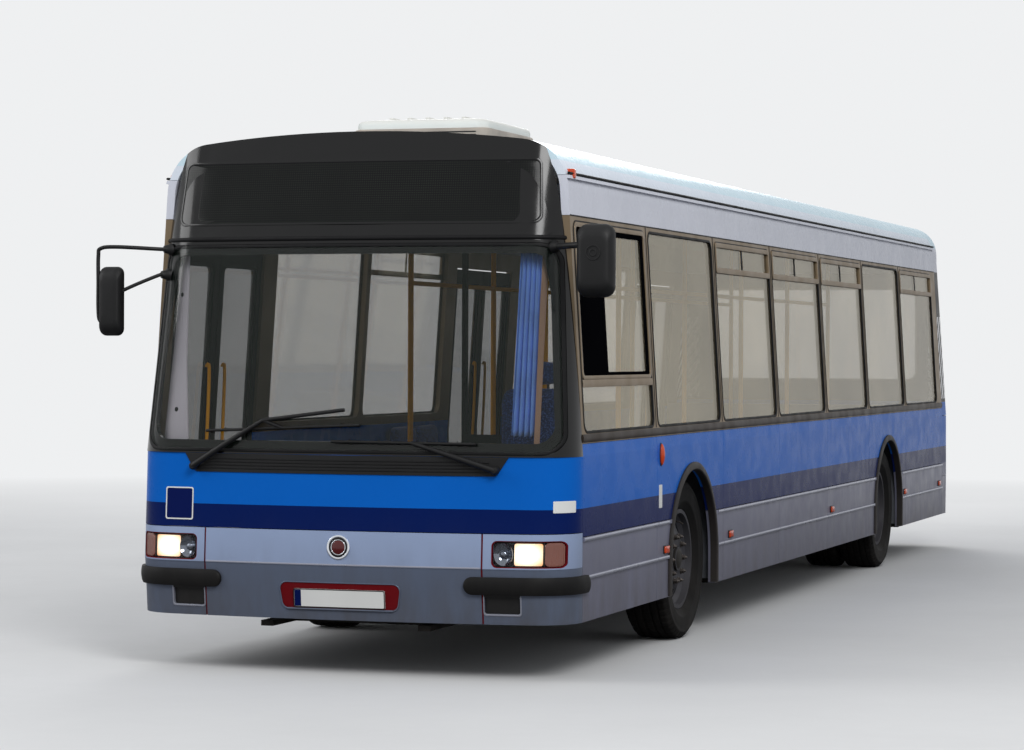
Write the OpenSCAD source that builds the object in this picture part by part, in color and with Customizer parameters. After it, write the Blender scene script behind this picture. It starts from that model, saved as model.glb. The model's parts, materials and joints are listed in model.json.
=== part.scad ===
// Low-floor airport passenger bus, 12 m long, with three double doors on its right side.
// Frame: the bus faces -Y, +X is its left (driver's) side, +Z is up, and the origin is on the
// ground at mid-length, on the plane of symmetry. Millimetres.

/* [Body] */
// Length over both bumpers
body_len = 11990; // [11400:10:12400]
// Width over the side walls
body_w = 2500; // [2400:10:2550]
// Height of the roof's crown above the ground
roof_h = 2920; // [2850:10:3000]
// Height of the skirt's lower edge above the ground
skirt_z = 300; // [280:5:330]
// Height of the line where skirts meet the side panels
belt_z = 755; // [700:5:800]
// Height where the walls begin to lean inwards, the upper edge of the front panel
waist_z = 1180; // [1150:5:1200]
// Height of the side panels' upper edge
panel_top_z = 1245; // [1220:5:1290]
// Height of the side windows' lower edge
glass_z = 1300; // [1270:5:1350]
// Height where the window frames meet the coves
cantrail_z = 2460; // [2420:5:2500]
// Height where the coves meet the roof
gutter_z = 2675; // [2640:5:2700]
// Inward lean of the walls above the waist, degrees
side_lean = 3.6; // [2:0.1:4.5]
// Thickness of walls and roof
wall_t = 45; // [35:1:60]
// Radius between wall and roof
roof_edge_r = 280; // [200:5:320]
// Radius of the roof's crown
roof_crown_r = 8000; // [6000:100:10000]
// Length of wall taken by the rounded nose, behind the front of the bumper
nose_len = 355; // [340:5:420]
// Length of wall taken by the rounded tail
tail_len = 435; // [400:5:500]
// Width of the joint between two panels
panel_gap = 4; // [2:0.5:8]

/* [Front] */
// Plan radius of the front
nose_crown_r = 7700; // [6000:100:10000]
// Corner radius of the front, seen from above
nose_corner_r = 260; // [200:5:300]
// Height of the bumper's crease
crease_z = 590; // [560:5:620]
// Height of the bumper's upper edge
bumper_z = 780; // [760:5:820]
// Height where the windscreen meets the destination box
header_z = 2325; // [2290:5:2350]
// Lean of the windscreen, degrees
screen_rake = 6.5; // [4:0.5:9]
// Half-width of the bumper's centre piece
bumper_mid_half = 785; // [700:5:820]
// Width of the gap between the bumper's pieces
bumper_gap = 10; // [6:1:16]

/* [Windows] */
// Distance from the front of the bus to the middle of the first window post
post_start = 270; // [240:5:290]
// Distance from the middle of the last window post to the rear of the bus
post_end = 625; // [600:5:660]
// Width of a window post
post_w = 70; // [50:2:100]
// Corner radius of a window
pane_r = 60; // [30:5:90]
// Thickness of a pane
pane_t = 8; // [5:1:12]
// Distance from the wall's outer face to a pane
pane_in = 8; // [4:1:15]

/* [Doors] */
// Width of a doorway
door_w = 1250; // [1150:10:1300]
// Height of a doorway's upper edge
door_top_z = 2330; // [2250:10:2360]
// Thickness of a door leaf
leaf_t = 32; // [26:1:38]
// Gap between the two leaves
leaf_mid_gap = 20; // [18:1:30]
// Gap between a leaf and the doorway's edge
leaf_gap = 8; // [6:1:12]
// Distance from the wall's outer face to a leaf's hinge axis
leaf_axis_in = 88; // [80:1:100]
// Distance from a leaf's outer end to its hinge axis
leaf_axis_y = 30; // [24:1:36]

/* [Floor] */
// Height of the floor above the ground
floor_z = 365; // [350:5:380]
// Thickness of the floor
floor_t = 45; // [35:1:50]
// Height of the driver's platform above the floor
platform_h = 195; // [150:5:220]

/* [Wheels] */
// Distance from the front of the bus to the front axle
front_overhang = 2695; // [2650:5:2750]
// Distance from the rear axle to the rear of the bus
rear_overhang = 2995; // [2900:5:3100]
// Outer radius of a tyre
tyre_r = 482; // [470:1:490]
// Width of a tyre
tyre_w = 275; // [260:1:290]
// Distance from the centre plane to the middle of an outer tyre
track_half = 1060; // [1040:5:1070]
// Distance between the two tyres of a rear pair, centre to centre
twin_pitch = 310; // [300:2:320]
// Radius of a wheel arch
arch_r = 545; // [530:5:560]
// Radius of the rim's bead seat
bead_r = 286; // [280:1:290]
// Distance from the centre plane to a kingpin
kingpin_x = 870; // [860:2:880]
// Radius of a kingpin
kingpin_r = 20; // [16:1:24]
// Radius of a stub axle
stub_r = 40; // [34:1:46]
// Length of the steering arms
steer_arm = 230; // [200:5:250]
// Height of the tie rod above the ground
tie_rod_z = 202; // [195:1:210]
// Radial clearance of a turning fit
run_gap = 0.05; // [0.02:0.01:0.1]

/* [Frame] */
// Distance from the centre plane to the middle of a frame rail
rail_x = 450; // [430:5:470]
// Width of a frame rail
rail_w = 80; // [60:5:100]
// Height of the frame rails' lower edge above the ground
rail_z = 250; // [240:5:260]
// Thickness of a towing lug
tow_t = 30; // [20:1:36]
// Radius of the hole in a towing lug
tow_hole_r = 16; // [12:1:20]

/* [Hidden] */
$fn = 48;
BIG_FN = 720;
ARCH_FN = 180;

half_w = body_w / 2;
half_len = body_len / 2;
front_axle_y = -half_len + front_overhang;
rear_axle_y = half_len - rear_overhang;
mid_axles_y = (front_axle_y + rear_axle_y) / 2;
// Distance from one window post to the next; there are seven bays
bay_pitch = (body_len - post_start - post_end) / 7;
nose_y = -half_len + nose_len;
tail_y = half_len - tail_len;
nose_roof_y = nose_y + 110;
seat_gap = 0.3;
lean_tan = tan(side_lean);

// Bands of the front and rear from the bottom up: [height, rake in degrees, side lean in degrees].
// The first two start at the bumper's foremost line; every other band starts where the one below
// it ends.
NOSE_BANDS = [
    [crease_z, -6, 0],
    [crease_z, 3, 0],
    [waist_z, screen_rake, side_lean],
    [header_z, 12, 0]
];
rear_bumper_z = 640;
TAIL_BANDS = [
    [rear_bumper_z, -3, 0],
    [rear_bumper_z, 2, 0],
    [waist_z, 2, side_lean],
    [2560, 10, 0]
];
crease_step = 2;
tail_crown_r = 14000;
tail_corner_r = 180;

// Bays with a doorway on the right side, and bays with a fixed window there
DOOR_BAYS = [0, 3, 6];
RIGHT_PANE_BAYS = [1, 2, 4, 5];
LEFT_BAYS = [0, 1, 2, 3, 4, 5, 6];

function post_y(n) = -half_len + post_start + n * bay_pitch;
function bay_mid_y(n) = post_y(n) + bay_pitch / 2;
// Half-width of the body at a height above the waist
function half_w_at(z) = half_w - (z - waist_z) * lean_tan;
// Setback of the start of band i, behind the crease; the lowest band lies a small step back
function band_back(bands, i) = i == 0 ? crease_step : i == 1 ? 0
    : band_back(bands, i - 1) + (bands[i][0] - bands[i - 1][0]) * tan(bands[i - 1][1]);

// Centre of the rounding between wall and roof: it touches the leaning wall and the crown
edge_a = half_w + waist_z * lean_tan - roof_edge_r / cos(side_lean);
crown_z = roof_h - roof_crown_r;
edge_q = edge_a * lean_tan + crown_z;
edge_z = (edge_q + sqrt(edge_q * edge_q - (1 + lean_tan * lean_tan)
    * (edge_a * edge_a + crown_z * crown_z - pow(roof_crown_r - roof_edge_r, 2))))
    / (1 + lean_tan * lean_tan);
edge_x = edge_a - lean_tan * edge_z;

rail_end_y = half_len - 115;
leaf_z0 = floor_z + 13;
sill_z = floor_z + 5;
door_axis_x = -(half_w - leaf_axis_in);

module rounded(x0, y0, x1, y1, r) {
    translate([x0 + r, y0]) square([x1 - x0 - 2 * r, y1 - y0]);
    translate([x0, y0 + r]) square([x1 - x0, y1 - y0 - 2 * r]);
    for (x = [x0 + r, x1 - r], y = [y0 + r, y1 - r]) translate([x, y]) circle(r = r);
}

// Rounded rectangle with short straight edges at its corners, for cuts through the curved ends
module soft(x0, y0, x1, y1, r) {
    offset(r = r) translate([x0 + r, y0 + r]) square([x1 - x0 - 2 * r, y1 - y0 - 2 * r]);
}

module block(x0, y0, z0, x1, y1, z1) {
    translate([x0, y0, z0]) cube([x1 - x0, y1 - y0, z1 - z0]);
}

// A drawing in Y and Z pushed along X, and one in X and Z pushed along Y
module along_x(x0, x1) { translate([x0, 0, 0]) rotate([90, 0, 90]) linear_extrude(x1 - x0) children(); }
module along_y(y0, y1) { translate([0, y1, 0]) rotate([90, 0, 0]) linear_extrude(y1 - y0) children(); }
// Round bar between two points
module strut(p, q, r) {
    d = q - p;
    translate(p) rotate([0, acos(d[2] / norm(d)), atan2(d[1], d[0])]) cylinder(r = r, h = norm(d));
}

module both_sides() {
    children();
    mirror([1, 0, 0]) children();
}

// Cross-section of the body, drawn inwards of its outer face
module section(inset, z0) {
    tx = edge_x + (roof_edge_r - inset) * cos(side_lean);
    tz = edge_z + (roof_edge_r - inset) * sin(side_lean);
    knee_z = waist_z - inset * tan(side_lean / 2);
    w = half_w - inset;
    crown_half = (roof_crown_r - inset) * edge_x / (roof_crown_r - roof_edge_r);
    polygon([[-w, z0], [w, z0], [w, knee_z], [tx, tz], [-tx, tz], [-w, knee_z]]);
    for (s = [-1, 1]) translate([s * edge_x, edge_z]) circle(r = roof_edge_r - inset, $fn = 96);
    intersection() {
        translate([0, crown_z]) circle(r = roof_crown_r - inset, $fn = BIG_FN);
        translate([-crown_half, waist_z]) square([2 * crown_half, roof_h - waist_z]);
    }
}

module section_prism(inset, y0, y1, z0 = 0) { along_y(y0, y1) section(inset, z0); }

module section_shell(in0, in1, y0, y1) {
    difference() {
        section_prism(in0, y0, y1);
        section_prism(in1, y0 - 1, y1 + 1, -10);
    }
}

// Part of a side wall: side is 1 on the left and -1 on the right
module wall(side, y0, y1, z0, z1, in0 = 0, in1 = wall_t) {
    intersection() {
        section_shell(in0, in1, y0, y1);
        if (side > 0) block(600, y0 - 2, z0, half_w + 100, y1 + 2, z1);
        else block(-half_w - 100, y0 - 2, z0, -600, y1 + 2, z1);
    }
}

// Plan of a rounded end, its crown at y = 0 and the body behind it
module end_plan(w, crown_r, corner_r, inset, depth) {
    cx = w - corner_r;
    cy = crown_r - sqrt(pow(crown_r - corner_r, 2) - cx * cx);
    tx = cx * (crown_r - inset) / (crown_r - corner_r);
    intersection() {
        translate([0, crown_r]) circle(r = crown_r - inset, $fn = BIG_FN);
        union() {
            translate([-tx, 0]) square([2 * tx, depth]);
            translate([-w + inset, cy]) square([2 * (w - inset), depth - cy]);
            for (s = [-1, 1]) translate([s * cx, cy]) circle(r = corner_r - inset, $fn = 240);
        }
    }
}

// One band of a rounded end, drawn as the front: a plan pushed along a leaning axis. Where the
// sides lean too, it is the left half.
module end_band(bands, k, crown_r, corner_r, inset, depth, grow) {
    z = bands[k][0];
    lean = bands[k][2];
    last = k == len(bands) - 1;
    z0 = (k == 0 ? 0 : z) - grow;
    z1 = (last ? roof_h + 60 : bands[k + 1][0]) + grow;
    w = half_w_at(max(z, waist_z)) * cos(lean) + (last ? 1 : 0);
    y0 = -half_len - 60;
    y1 = -half_len + depth + grow;
    intersection() {
        block(lean > 0 ? 0 : -half_w - 60, y0, z0, half_w + 60, y1, z1);
        if (last) section_prism(inset, y0, y1);
        translate([0, -half_len + band_back(bands, k), z])
            rotate([-bands[k][1], -lean, 0])
                translate([0, 0, z0 - z - 300])
                    linear_extrude(z1 - z0 + 600)
                        end_plan(w, crown_r, corner_r, inset, depth + 900);
    }
}

module end_solid(bands, k, crown_r, corner_r, inset, depth, grow) {
    if (bands[k][2] > 0) both_sides() end_band(bands, k, crown_r, corner_r, inset, depth, grow);
    else end_band(bands, k, crown_r, corner_r, inset, depth, grow);
}

module nose_solid(k, inset, grow = 0) {
    end_solid(NOSE_BANDS, k, nose_crown_r, nose_corner_r, inset, nose_len + 120, grow);
}

module tail_solid(k, inset, grow = 0) {
    end_solid(TAIL_BANDS, k, tail_crown_r, tail_corner_r, inset, tail_len, grow);
}

// Shell of one band of the nose or the tail, between two distances from the outer face
module nose_shell(k, in0, in1) {
    difference() {
        nose_solid(k, in0);
        nose_solid(k, in1, 1);
    }
}

module tail_shell(k, in0, in1) {
    mirror([0, 1, 0]) difference() {
        tail_solid(k, in0);
        tail_solid(k, in1, 1);
    }
}

// Structure below the floor

module chassis_frame() {
    beam_z = 285;
    top = floor_z - floor_t;
    cross_y = [-half_len + 555, front_axle_y - 1400, front_axle_y - 720, front_axle_y + 740,
        front_axle_y + 1900, bay_mid_y(3), rear_axle_y - 2000, rear_axle_y - 670, rear_axle_y + 700,
        half_len - 1575, half_len - 845];
    rail_in = rail_x - rail_w / 2;
    rail_out = rail_x + rail_w / 2;
    y0 = -half_len + 435;
    y1 = rail_end_y;
    end_t = 60;
    JACK_Y = [front_axle_y + 1100, rear_axle_y - 1100];
    jack_pad_t = 12;
    // Each bar is a piece of its own, set against its neighbours with seat_gap between them
    color("dimgray") {
        both_sides() {
            block(rail_in, y0 + end_t, rail_z, rail_out, y1 - end_t, top);
            for (y = cross_y)
                block(rail_out + seat_gap, y - 30, beam_z, half_w - wall_t, y + 30, top);
            tow_eye(y0 - seat_gap, -half_len + 105);
            tow_eye(y1 + seat_gap, half_len - 55);
            for (y = JACK_Y)
                block(rail_in, y - 60, rail_z - seat_gap - jack_pad_t, rail_out, y + 60, rail_z - seat_gap);
        }
        for (y = cross_y)
            block(-rail_in + seat_gap, y - 30, beam_z, rail_in - seat_gap, y + 30, top);
        block(-rail_out, y0, rail_z, rail_out, y0 + end_t - seat_gap, top);
        block(-rail_out, y1 - end_t + seat_gap, rail_z, rail_out, y1, top);
    }
}

// Flat lug under a bumper, with an upright hole for the towing pin
module tow_eye(y0, y1) {
    difference() {
        block(rail_x - 35, min(y0, y1), rail_z, rail_x + 35, max(y0, y1), rail_z + tow_t);
        translate([rail_x, y1 - sign(y1) * 35, 0]) cylinder(r = tow_hole_r, h = 400);
    }
}

// Steel box over a wheel, open below and at the skirt
module wheel_box(axle_y, inner_x, half_y, top_z) {
    t = 20;
    difference() {
        block(inner_x, axle_y - half_y, floor_z - floor_t, half_w - wall_t, axle_y + half_y, top_z);
        block(inner_x + t, axle_y - half_y + t, 0, half_w, axle_y + half_y - t, top_z - t);
    }
}

module floor() {
    front_in = 578;
    rear_in = 572;
    front_half = 640;
    rear_half = 590;
    box_z = 1080;
    g = seat_gap;
    wall_plate_t = 30;
    shelf_z = 1240;
    y1 = post_y(7) - 110;
    w = half_w - wall_t;
    color("slategray") {
        difference() {
            block(-w, nose_y + 40, floor_z - floor_t, w, y1 - wall_plate_t - g, floor_z);
            both_sides() {
                block(front_in - g, front_axle_y - front_half - g, 0, half_w, front_axle_y + front_half + g, 400);
                block(rear_in - g, rear_axle_y - rear_half - g, 0, half_w, rear_axle_y + rear_half + g, 400);
            }
        }
        both_sides() {
            wheel_box(front_axle_y, front_in, front_half, box_z);
            wheel_box(rear_axle_y, rear_in, rear_half, box_z);
        }
        // Driver's platform, and the wall and shelf that close off the engine
        block(120, nose_y + 80, floor_z + g, w, -half_len + 1695, floor_z + platform_h);
        intersection() {
            union() {
                block(-w, y1 - wall_plate_t, floor_z - floor_t, w, y1, shelf_z - g);
                block(-w, y1 - wall_plate_t, shelf_z, w, tail_y, shelf_z + wall_plate_t);
            }
            section_prism(wall_t + g, y1 - 60, tail_y + 10);
        }
    }
}

// Engine and gearbox as one mass on the frame rails, with the sump between them
module engine() {
    y0 = post_y(7) - 90;
    rail_in = rail_x - rail_w / 2 - 10;
    color("gray") {
        block(-700, y0, floor_z - floor_t, 900, half_len - 180, 1200);
        block(-rail_in, y0, 205, rail_in, half_len - 240, floor_z - floor_t + 1);
    }
}

// Running gear

module axle_outline(end_x, end_z0, end_z1, knee_x, low_z0, low_z1) {
    polygon([[-end_x, end_z0], [-end_x, end_z1], [-knee_x - 60, end_z1], [-knee_x, low_z1],
        [knee_x, low_z1], [knee_x + 60, end_z1], [end_x, end_z1], [end_x, end_z0],
        [knee_x + 110, end_z0], [knee_x + 30, low_z0], [-knee_x - 30, low_z0],
        [-knee_x - 110, end_z0]]);
}

boss_half = 52;

module front_axle() {
    color("dimgray") difference() {
        union() {
            along_y(front_axle_y - 50, front_axle_y + 50)
                axle_outline(kingpin_x - 30, tyre_r - 45, tyre_r + 45, 640, 145, 240);
            for (s = [-1, 1]) {
                translate([s * kingpin_x, front_axle_y, tyre_r - boss_half])
                    cylinder(r = 45, h = 2 * boss_half);
                block(s * rail_x - rail_w / 2, front_axle_y - 70, 220, s * rail_x + rail_w / 2, front_axle_y + 70, rail_z);
            }
        }
        for (s = [-1, 1])
            translate([s * kingpin_x, front_axle_y, 0]) cylinder(r = kingpin_r + run_gap, h = 1000);
    }
}

// Steering knuckle: fork, kingpin, stub axle and steering arm
module knuckle(side) {
    ear_t = 34;
    top = tyre_r + boss_half + 0.5;
    low = tyre_r - boss_half - 0.5;
    arm_z = tie_rod_z + 14;
    color("darkgray") translate([side * kingpin_x, front_axle_y, 0]) {
        translate([0, 0, arm_z]) cylinder(r = kingpin_r, h = top + ear_t - arm_z);
        translate([0, 0, top]) cylinder(r = 46, h = ear_t);
        translate([0, 0, low - ear_t]) cylinder(r = 46, h = ear_t);
        for (z = [top, low - ear_t])
            block(min(0, side * 80), -40, z, max(0, side * 80), 40, z + ear_t);
        block(min(side * 52, side * 80), -40, low - ear_t, max(side * 52, side * 80), 40, top + ear_t);
        translate([side * 70, 0, tyre_r]) rotate([0, side * 90, 0]) cylinder(r = stub_r, h = 150);
        // Arm to the tie rod, and the tie rod's pin
        translate([0, 0, arm_z]) cylinder(r = 28, h = low - arm_z - 1);
        block(-22, 0, arm_z, 22, steer_arm, arm_z + 24);
        translate([0, steer_arm, arm_z]) cylinder(r = 26, h = 24);
        translate([0, steer_arm, tie_rod_z - 14]) cylinder(r = 10, h = 40);
    }
}

module tie_rod() {
    color("gray") difference() {
        union() {
            for (s = [-1, 1]) translate([s * kingpin_x, front_axle_y + steer_arm, tie_rod_z - 13])
                cylinder(r = 24, h = 26);
            translate([-kingpin_x, front_axle_y + steer_arm, tie_rod_z])
                rotate([0, 90, 0]) cylinder(r = 12.5, h = 2 * kingpin_x);
        }
        // Left eye turns on its pin, right eye is the open end of the linkage
        translate([kingpin_x, front_axle_y + steer_arm, 0]) cylinder(r = 10 + run_gap, h = 400);
        translate([-kingpin_x, front_axle_y + steer_arm, 0]) cylinder(r = 10.5, h = 400);
    }
}

// Dropped rear axle: a low beam under the frame rails, steps up inside the inner rims, stubs,
// brakes, final drive and the shaft to the engine
module rear_axle() {
    inner_x = track_half - twin_pitch;
    step_x = inner_x - tyre_w / 2 - 12;
    barrel_z = tyre_r - bead_r + 62;
    plate_x = inner_x - 95;
    color("dimgray") {
        along_y(rear_axle_y - 45, rear_axle_y + 45) polygon([
            [-plate_x - 50, barrel_z], [-plate_x - 50, tyre_r + 60], [-plate_x, tyre_r + 60],
            [-plate_x, barrel_z + 58], [-step_x, barrel_z + 58], [-step_x + 80, rail_z],
            [step_x - 80, rail_z], [step_x, barrel_z + 58], [plate_x, barrel_z + 58],
            [plate_x, tyre_r + 60], [plate_x + 50, tyre_r + 60], [plate_x + 50, barrel_z],
            [step_x + 10, barrel_z], [step_x - 70, rail_z - 80], [-step_x + 70, rail_z - 80],
            [-step_x - 10, barrel_z]
        ]);
        both_sides() {
            translate([plate_x, rear_axle_y, tyre_r]) rotate([0, 90, 0])
                cylinder(r = stub_r, h = track_half - 65 - plate_x);
            translate([plate_x + 50, rear_axle_y, tyre_r]) rotate([0, 90, 0]) cylinder(r = 190, h = 110);
            block(rail_x - rail_w / 2, rear_axle_y - 90, rail_z - 30, rail_x + rail_w / 2, rear_axle_y + 90, rail_z);
        }
        translate([-110, rear_axle_y, 225]) rotate([0, 90, 0]) cylinder(r = 85, h = 220);
        translate([0, rear_axle_y, 245]) rotate([-90, 0, 0]) cylinder(r = 34, h = post_y(7) - 90 - rear_axle_y);
    }
}

// Rim drawn as radius and distance from the tyre's middle, outwards positive
module rim_barrel() {
    rotate_extrude($fn = 96) polygon([
        [bead_r - 8, -102], [bead_r + 16, -102], [bead_r + 16, -93], [bead_r, -88],
        [bead_r, -62], [bead_r - 28, -42], [bead_r - 28, 42], [bead_r, 62],
        [bead_r, 88], [bead_r + 16, 93], [bead_r + 16, 102], [bead_r - 8, 102],
        [bead_r - 12, 66], [bead_r - 40, 44], [bead_r - 40, -44], [bead_r - 12, -66]
    ]);
}

// Disc from hub to barrel with its ring of hand holes: flat at face, and joined to the barrel at edge
module rim_disc(face, edge) {
    t = 7.5;
    difference() {
        rotate_extrude($fn = 96) polygon([
            [60, face - t], [150, face - t], [bead_r - 36, edge - t], [bead_r - 36, edge + t],
            [150, face + t], [60, face + t]
        ]);
        for (i = [0 : 9]) rotate(i * 36) translate([206, 0, -400]) cylinder(r = 24, h = 800);
    }
}

module hub(z0, z1, cap_z, bore_z) {
    difference() {
        union() {
            translate([0, 0, z0]) cylinder(r = 118, h = z1 - z0);
            translate([0, 0, z1 - 1]) cylinder(r = 72, h = cap_z - z1 + 1);
        }
        translate([0, 0, z0 - 1]) cylinder(r = stub_r + run_gap, h = bore_z - z0 + 1);
    }
}

module front_rim() {
    rim_barrel();
    rim_disc(74, 28);
    hub(-60, 68, 98, 40);
}

// The two discs of a pair meet back to back, halfway between the rims
module rear_rims() {
    face = -twin_pitch / 2 + 7;
    rim_barrel();
    rim_disc(face, -28);
    hub(-twin_pitch + 80, face + 20, -10, -60);
    translate([0, 0, -twin_pitch]) {
        rim_barrel();
        mirror([0, 0, 1]) rim_disc(face, -28);
    }
}

module tyre_ring() {
    h = tyre_w / 2;
    rotate_extrude($fn = 64) polygon([
        [bead_r + seat_gap, -86], [bead_r + 17, -92], [bead_r + 17, -104], [340, -h + 8],
        [400, -h], [446, -h + 6], [tyre_r - 8, -h + 22], [tyre_r, -h + 40],
        [tyre_r, h - 40], [tyre_r - 8, h - 22], [446, h - 6], [400, h],
        [340, h - 8], [bead_r + 17, 104], [bead_r + 17, 92], [bead_r + seat_gap, 86]
    ]);
}

module at_wheel(side, axle_y) {
    translate([side * track_half, axle_y, tyre_r]) rotate([0, side * 90, 0]) children();
}

// Lower body

module arch_cut() {
    for (y = [front_axle_y, rear_axle_y]) both_sides() along_x(900, half_w + 60) {
        translate([y, tyre_r]) circle(r = arch_r, $fn = ARCH_FN);
        translate([y - arch_r, 0]) square([2 * arch_r, tyre_r]);
    }
}

module door_cut(z0, z1) {
    for (n = DOOR_BAYS)
        block(-half_w - 60, bay_mid_y(n) - door_w / 2, z0, -half_w + 400, bay_mid_y(n) + door_w / 2, z1);
}

module split_cut(z0, z1) {
    for (n = [1 : 6])
        block(-half_w - 60, post_y(n) - panel_gap / 2, z0, half_w + 60, post_y(n) + panel_gap / 2, z1);
}

module skirts() {
    rib = 8;
    color("silver") difference() {
        for (s = [-1, 1]) {
            wall(s, nose_y, tail_y, skirt_z, belt_z - panel_gap);
            wall(s, nose_y, tail_y, 525, 545, -rib, 1);
            wall(s, nose_y, tail_y, belt_z - 26, belt_z - panel_gap, -rib, 1);
        }
        arch_cut();
        split_cut(0, belt_z + 10);
        door_cut(sill_z, belt_z + 10);
    }
}

module side_panels() {
    color("royalblue") difference() {
        for (s = [-1, 1]) wall(s, nose_y, tail_y, belt_z, panel_top_z);
        arch_cut();
        split_cut(belt_z - 10, panel_top_z + 10);
        door_cut(sill_z, panel_top_z + 10);
    }
}

// Window zone

module pane_outline(n, grow = 0) {
    y0 = max(post_y(n) + post_w / 2, nose_y + 45);
    rounded(y0 - grow, glass_z - grow, post_y(n + 1) - post_w / 2 + grow, cantrail_z - 25 + grow, pane_r + grow);
}

module window_frame_left() {
    color("saddlebrown") difference() {
        wall(1, nose_y, tail_y, panel_top_z + 2, cantrail_z - 2);
        along_x(600, half_w + 60) for (n = LEFT_BAYS) pane_outline(n);
    }
}

module window_frame_right() {
    color("saddlebrown") difference() {
        wall(-1, nose_y, tail_y, panel_top_z + 2, cantrail_z - 2);
        along_x(-half_w - 60, -600) for (n = RIGHT_PANE_BAYS) pane_outline(n);
        door_cut(panel_top_z - 20, door_top_z);
    }
}

module rear_glass_outline(grow = 0) {
    soft(-960 - grow, 1480 - grow, 960 + grow, 2330 + grow, 90 + grow);
}

module window_glass() {
    color("peru", 0.5) {
        intersection() {
            wall(1, nose_y, tail_y, waist_z, cantrail_z, pane_in, pane_in + pane_t);
            along_x(600, half_w + 60) for (n = LEFT_BAYS) pane_outline(n);
        }
        intersection() {
            wall(-1, nose_y, tail_y, waist_z, cantrail_z, pane_in, pane_in + pane_t);
            along_x(-half_w - 60, -600) for (n = RIGHT_PANE_BAYS) pane_outline(n);
        }
        intersection() {
            tail_shell(2, pane_in, pane_in + pane_t);
            along_y(half_len - 300, half_len + 10) rear_glass_outline();
        }
    }
}

module coves() {
    color("aliceblue") for (s = [-1, 1]) {
        wall(s, nose_y, tail_y, cantrail_z, gutter_z - 2);
        wall(s, nose_y, tail_y, gutter_z - 20, gutter_z - 2, -16, 1);
    }
}

HATCH_Y = [front_axle_y + 1550, rear_axle_y - 300];
hatch_half = 320;

module roof() {
    color("lightsteelblue") difference() {
        intersection() {
            section_shell(0, wall_t, nose_roof_y, tail_y);
            block(-half_w, nose_roof_y - 1, gutter_z, half_w, tail_y + 1, roof_h + 10);
        }
        for (y = HATCH_Y) block(-hatch_half, y - hatch_half, roof_h - 220, hatch_half, y + hatch_half, roof_h + 180);
    }
    color("lightsteelblue") both_sides() intersection() {
        section_shell(0, wall_t, nose_y, nose_roof_y);
        block(edge_x - 100, nose_y - 1, gutter_z, half_w, nose_roof_y, roof_h);
    }
}

// Roof hatch lid with a rim that hangs into the opening; its hinge is at its front edge
module roof_hatch(y) {
    lap = 45;
    rim = 8;
    color("whitesmoke") {
        block(-hatch_half - lap, y - hatch_half - lap, roof_h + seat_gap, hatch_half + lap, y + hatch_half + lap, roof_h + 38);
        difference() {
            block(-hatch_half + rim, y - hatch_half + rim, roof_h - 40, hatch_half - rim, y + hatch_half - rim, roof_h + 1);
            block(-hatch_half + rim + 20, y - hatch_half + rim + 20, roof_h - 50, hatch_half - rim - 20,
                y + hatch_half - rim - 20, roof_h + seat_gap);
        }
    }
}

ac_y0 = -half_len + 1245;
ac_y1 = ac_y0 + 900;

module ac_unit() {
    color("gainsboro") {
        difference() {
            block(-410, ac_y0, roof_h - 30, 410, ac_y1, roof_h + 85);
            section_prism(-seat_gap, ac_y0 - 5, ac_y1 + 5);
        }
        translate([0, 0, roof_h + 85]) linear_extrude(75) rounded(-380, ac_y0 + 25, 380, ac_y1 - 25, 60);
    }
}

// Front

module upright(z0, w0, z1, w1, r) {
    offset(r = r) offset(delta = -r) polygon([[-w0, z0], [w0, z0], [w1, z1], [-w1, z1]]);
}

module screen_outline(grow = 0) {
    upright(1192 - grow, half_w - 42 + grow, header_z - 18 + grow, half_w_at(header_z) - 38 + grow, 110);
}

module screen_aperture() {
    upright(1250, half_w - 99, header_z - 70, half_w_at(header_z) - 95, 90);
}

module display_outline(grow = 0) {
    upright(header_z + 15 - grow, 1120 + grow, roof_h - 118 + grow, 1085 + grow, 80);
}

module bumper_centre() {
    color("silver") difference() {
        intersection() {
            for (k = [0, 1]) nose_shell(k, 0, wall_t);
            block(-bumper_mid_half, -half_len - 50, skirt_z, bumper_mid_half, nose_y, bumper_z - panel_gap);
        }
        // Recess for the number plate
        block(-345, -half_len - 50, 363, 345, -half_len + 22, 490);
    }
}

module corner_zone(z0, z1, x0, y1) {
    both_sides() block(x0, -half_len - 50, z0, half_w + 50, y1, z1);
}

module lamp_outline(grow = 0) {
    soft(840 - grow, 600 - grow, 1216 + grow, 742 + grow, 30);
}

module bumper_corners() {
    color("silver") difference() {
        intersection() {
            for (k = [0, 1]) nose_shell(k, 0, wall_t);
            corner_zone(skirt_z, bumper_z - panel_gap, bumper_mid_half + bumper_gap, nose_y - panel_gap);
        }
        both_sides() along_y(-half_len - 20, nose_y) {
            lamp_outline();
            soft(800, 355, 990, 450, 12);
        }
    }
}

module bumper_rubbers() {
    color("black") {
        intersection() {
            nose_shell(0, -14, 0);
            corner_zone(460, 548, 700, nose_y - 60);
        }
        intersection() {
            nose_shell(0, 20, 40);
            both_sides() along_y(-half_len - 20, nose_y) soft(800, 355, 990, 450, 12);
        }
    }
}

module headlamps() {
    color("white", 0.6) intersection() {
        nose_shell(1, 5, wall_t);
        both_sides() along_y(-half_len - 20, nose_y) lamp_outline();
    }
}

module front_fascia() {
    color("royalblue") intersection() {
        nose_shell(1, 0, wall_t);
        block(-half_w, -half_len - 50, bumper_z, half_w, nose_y - panel_gap, waist_z);
    }
}

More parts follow.
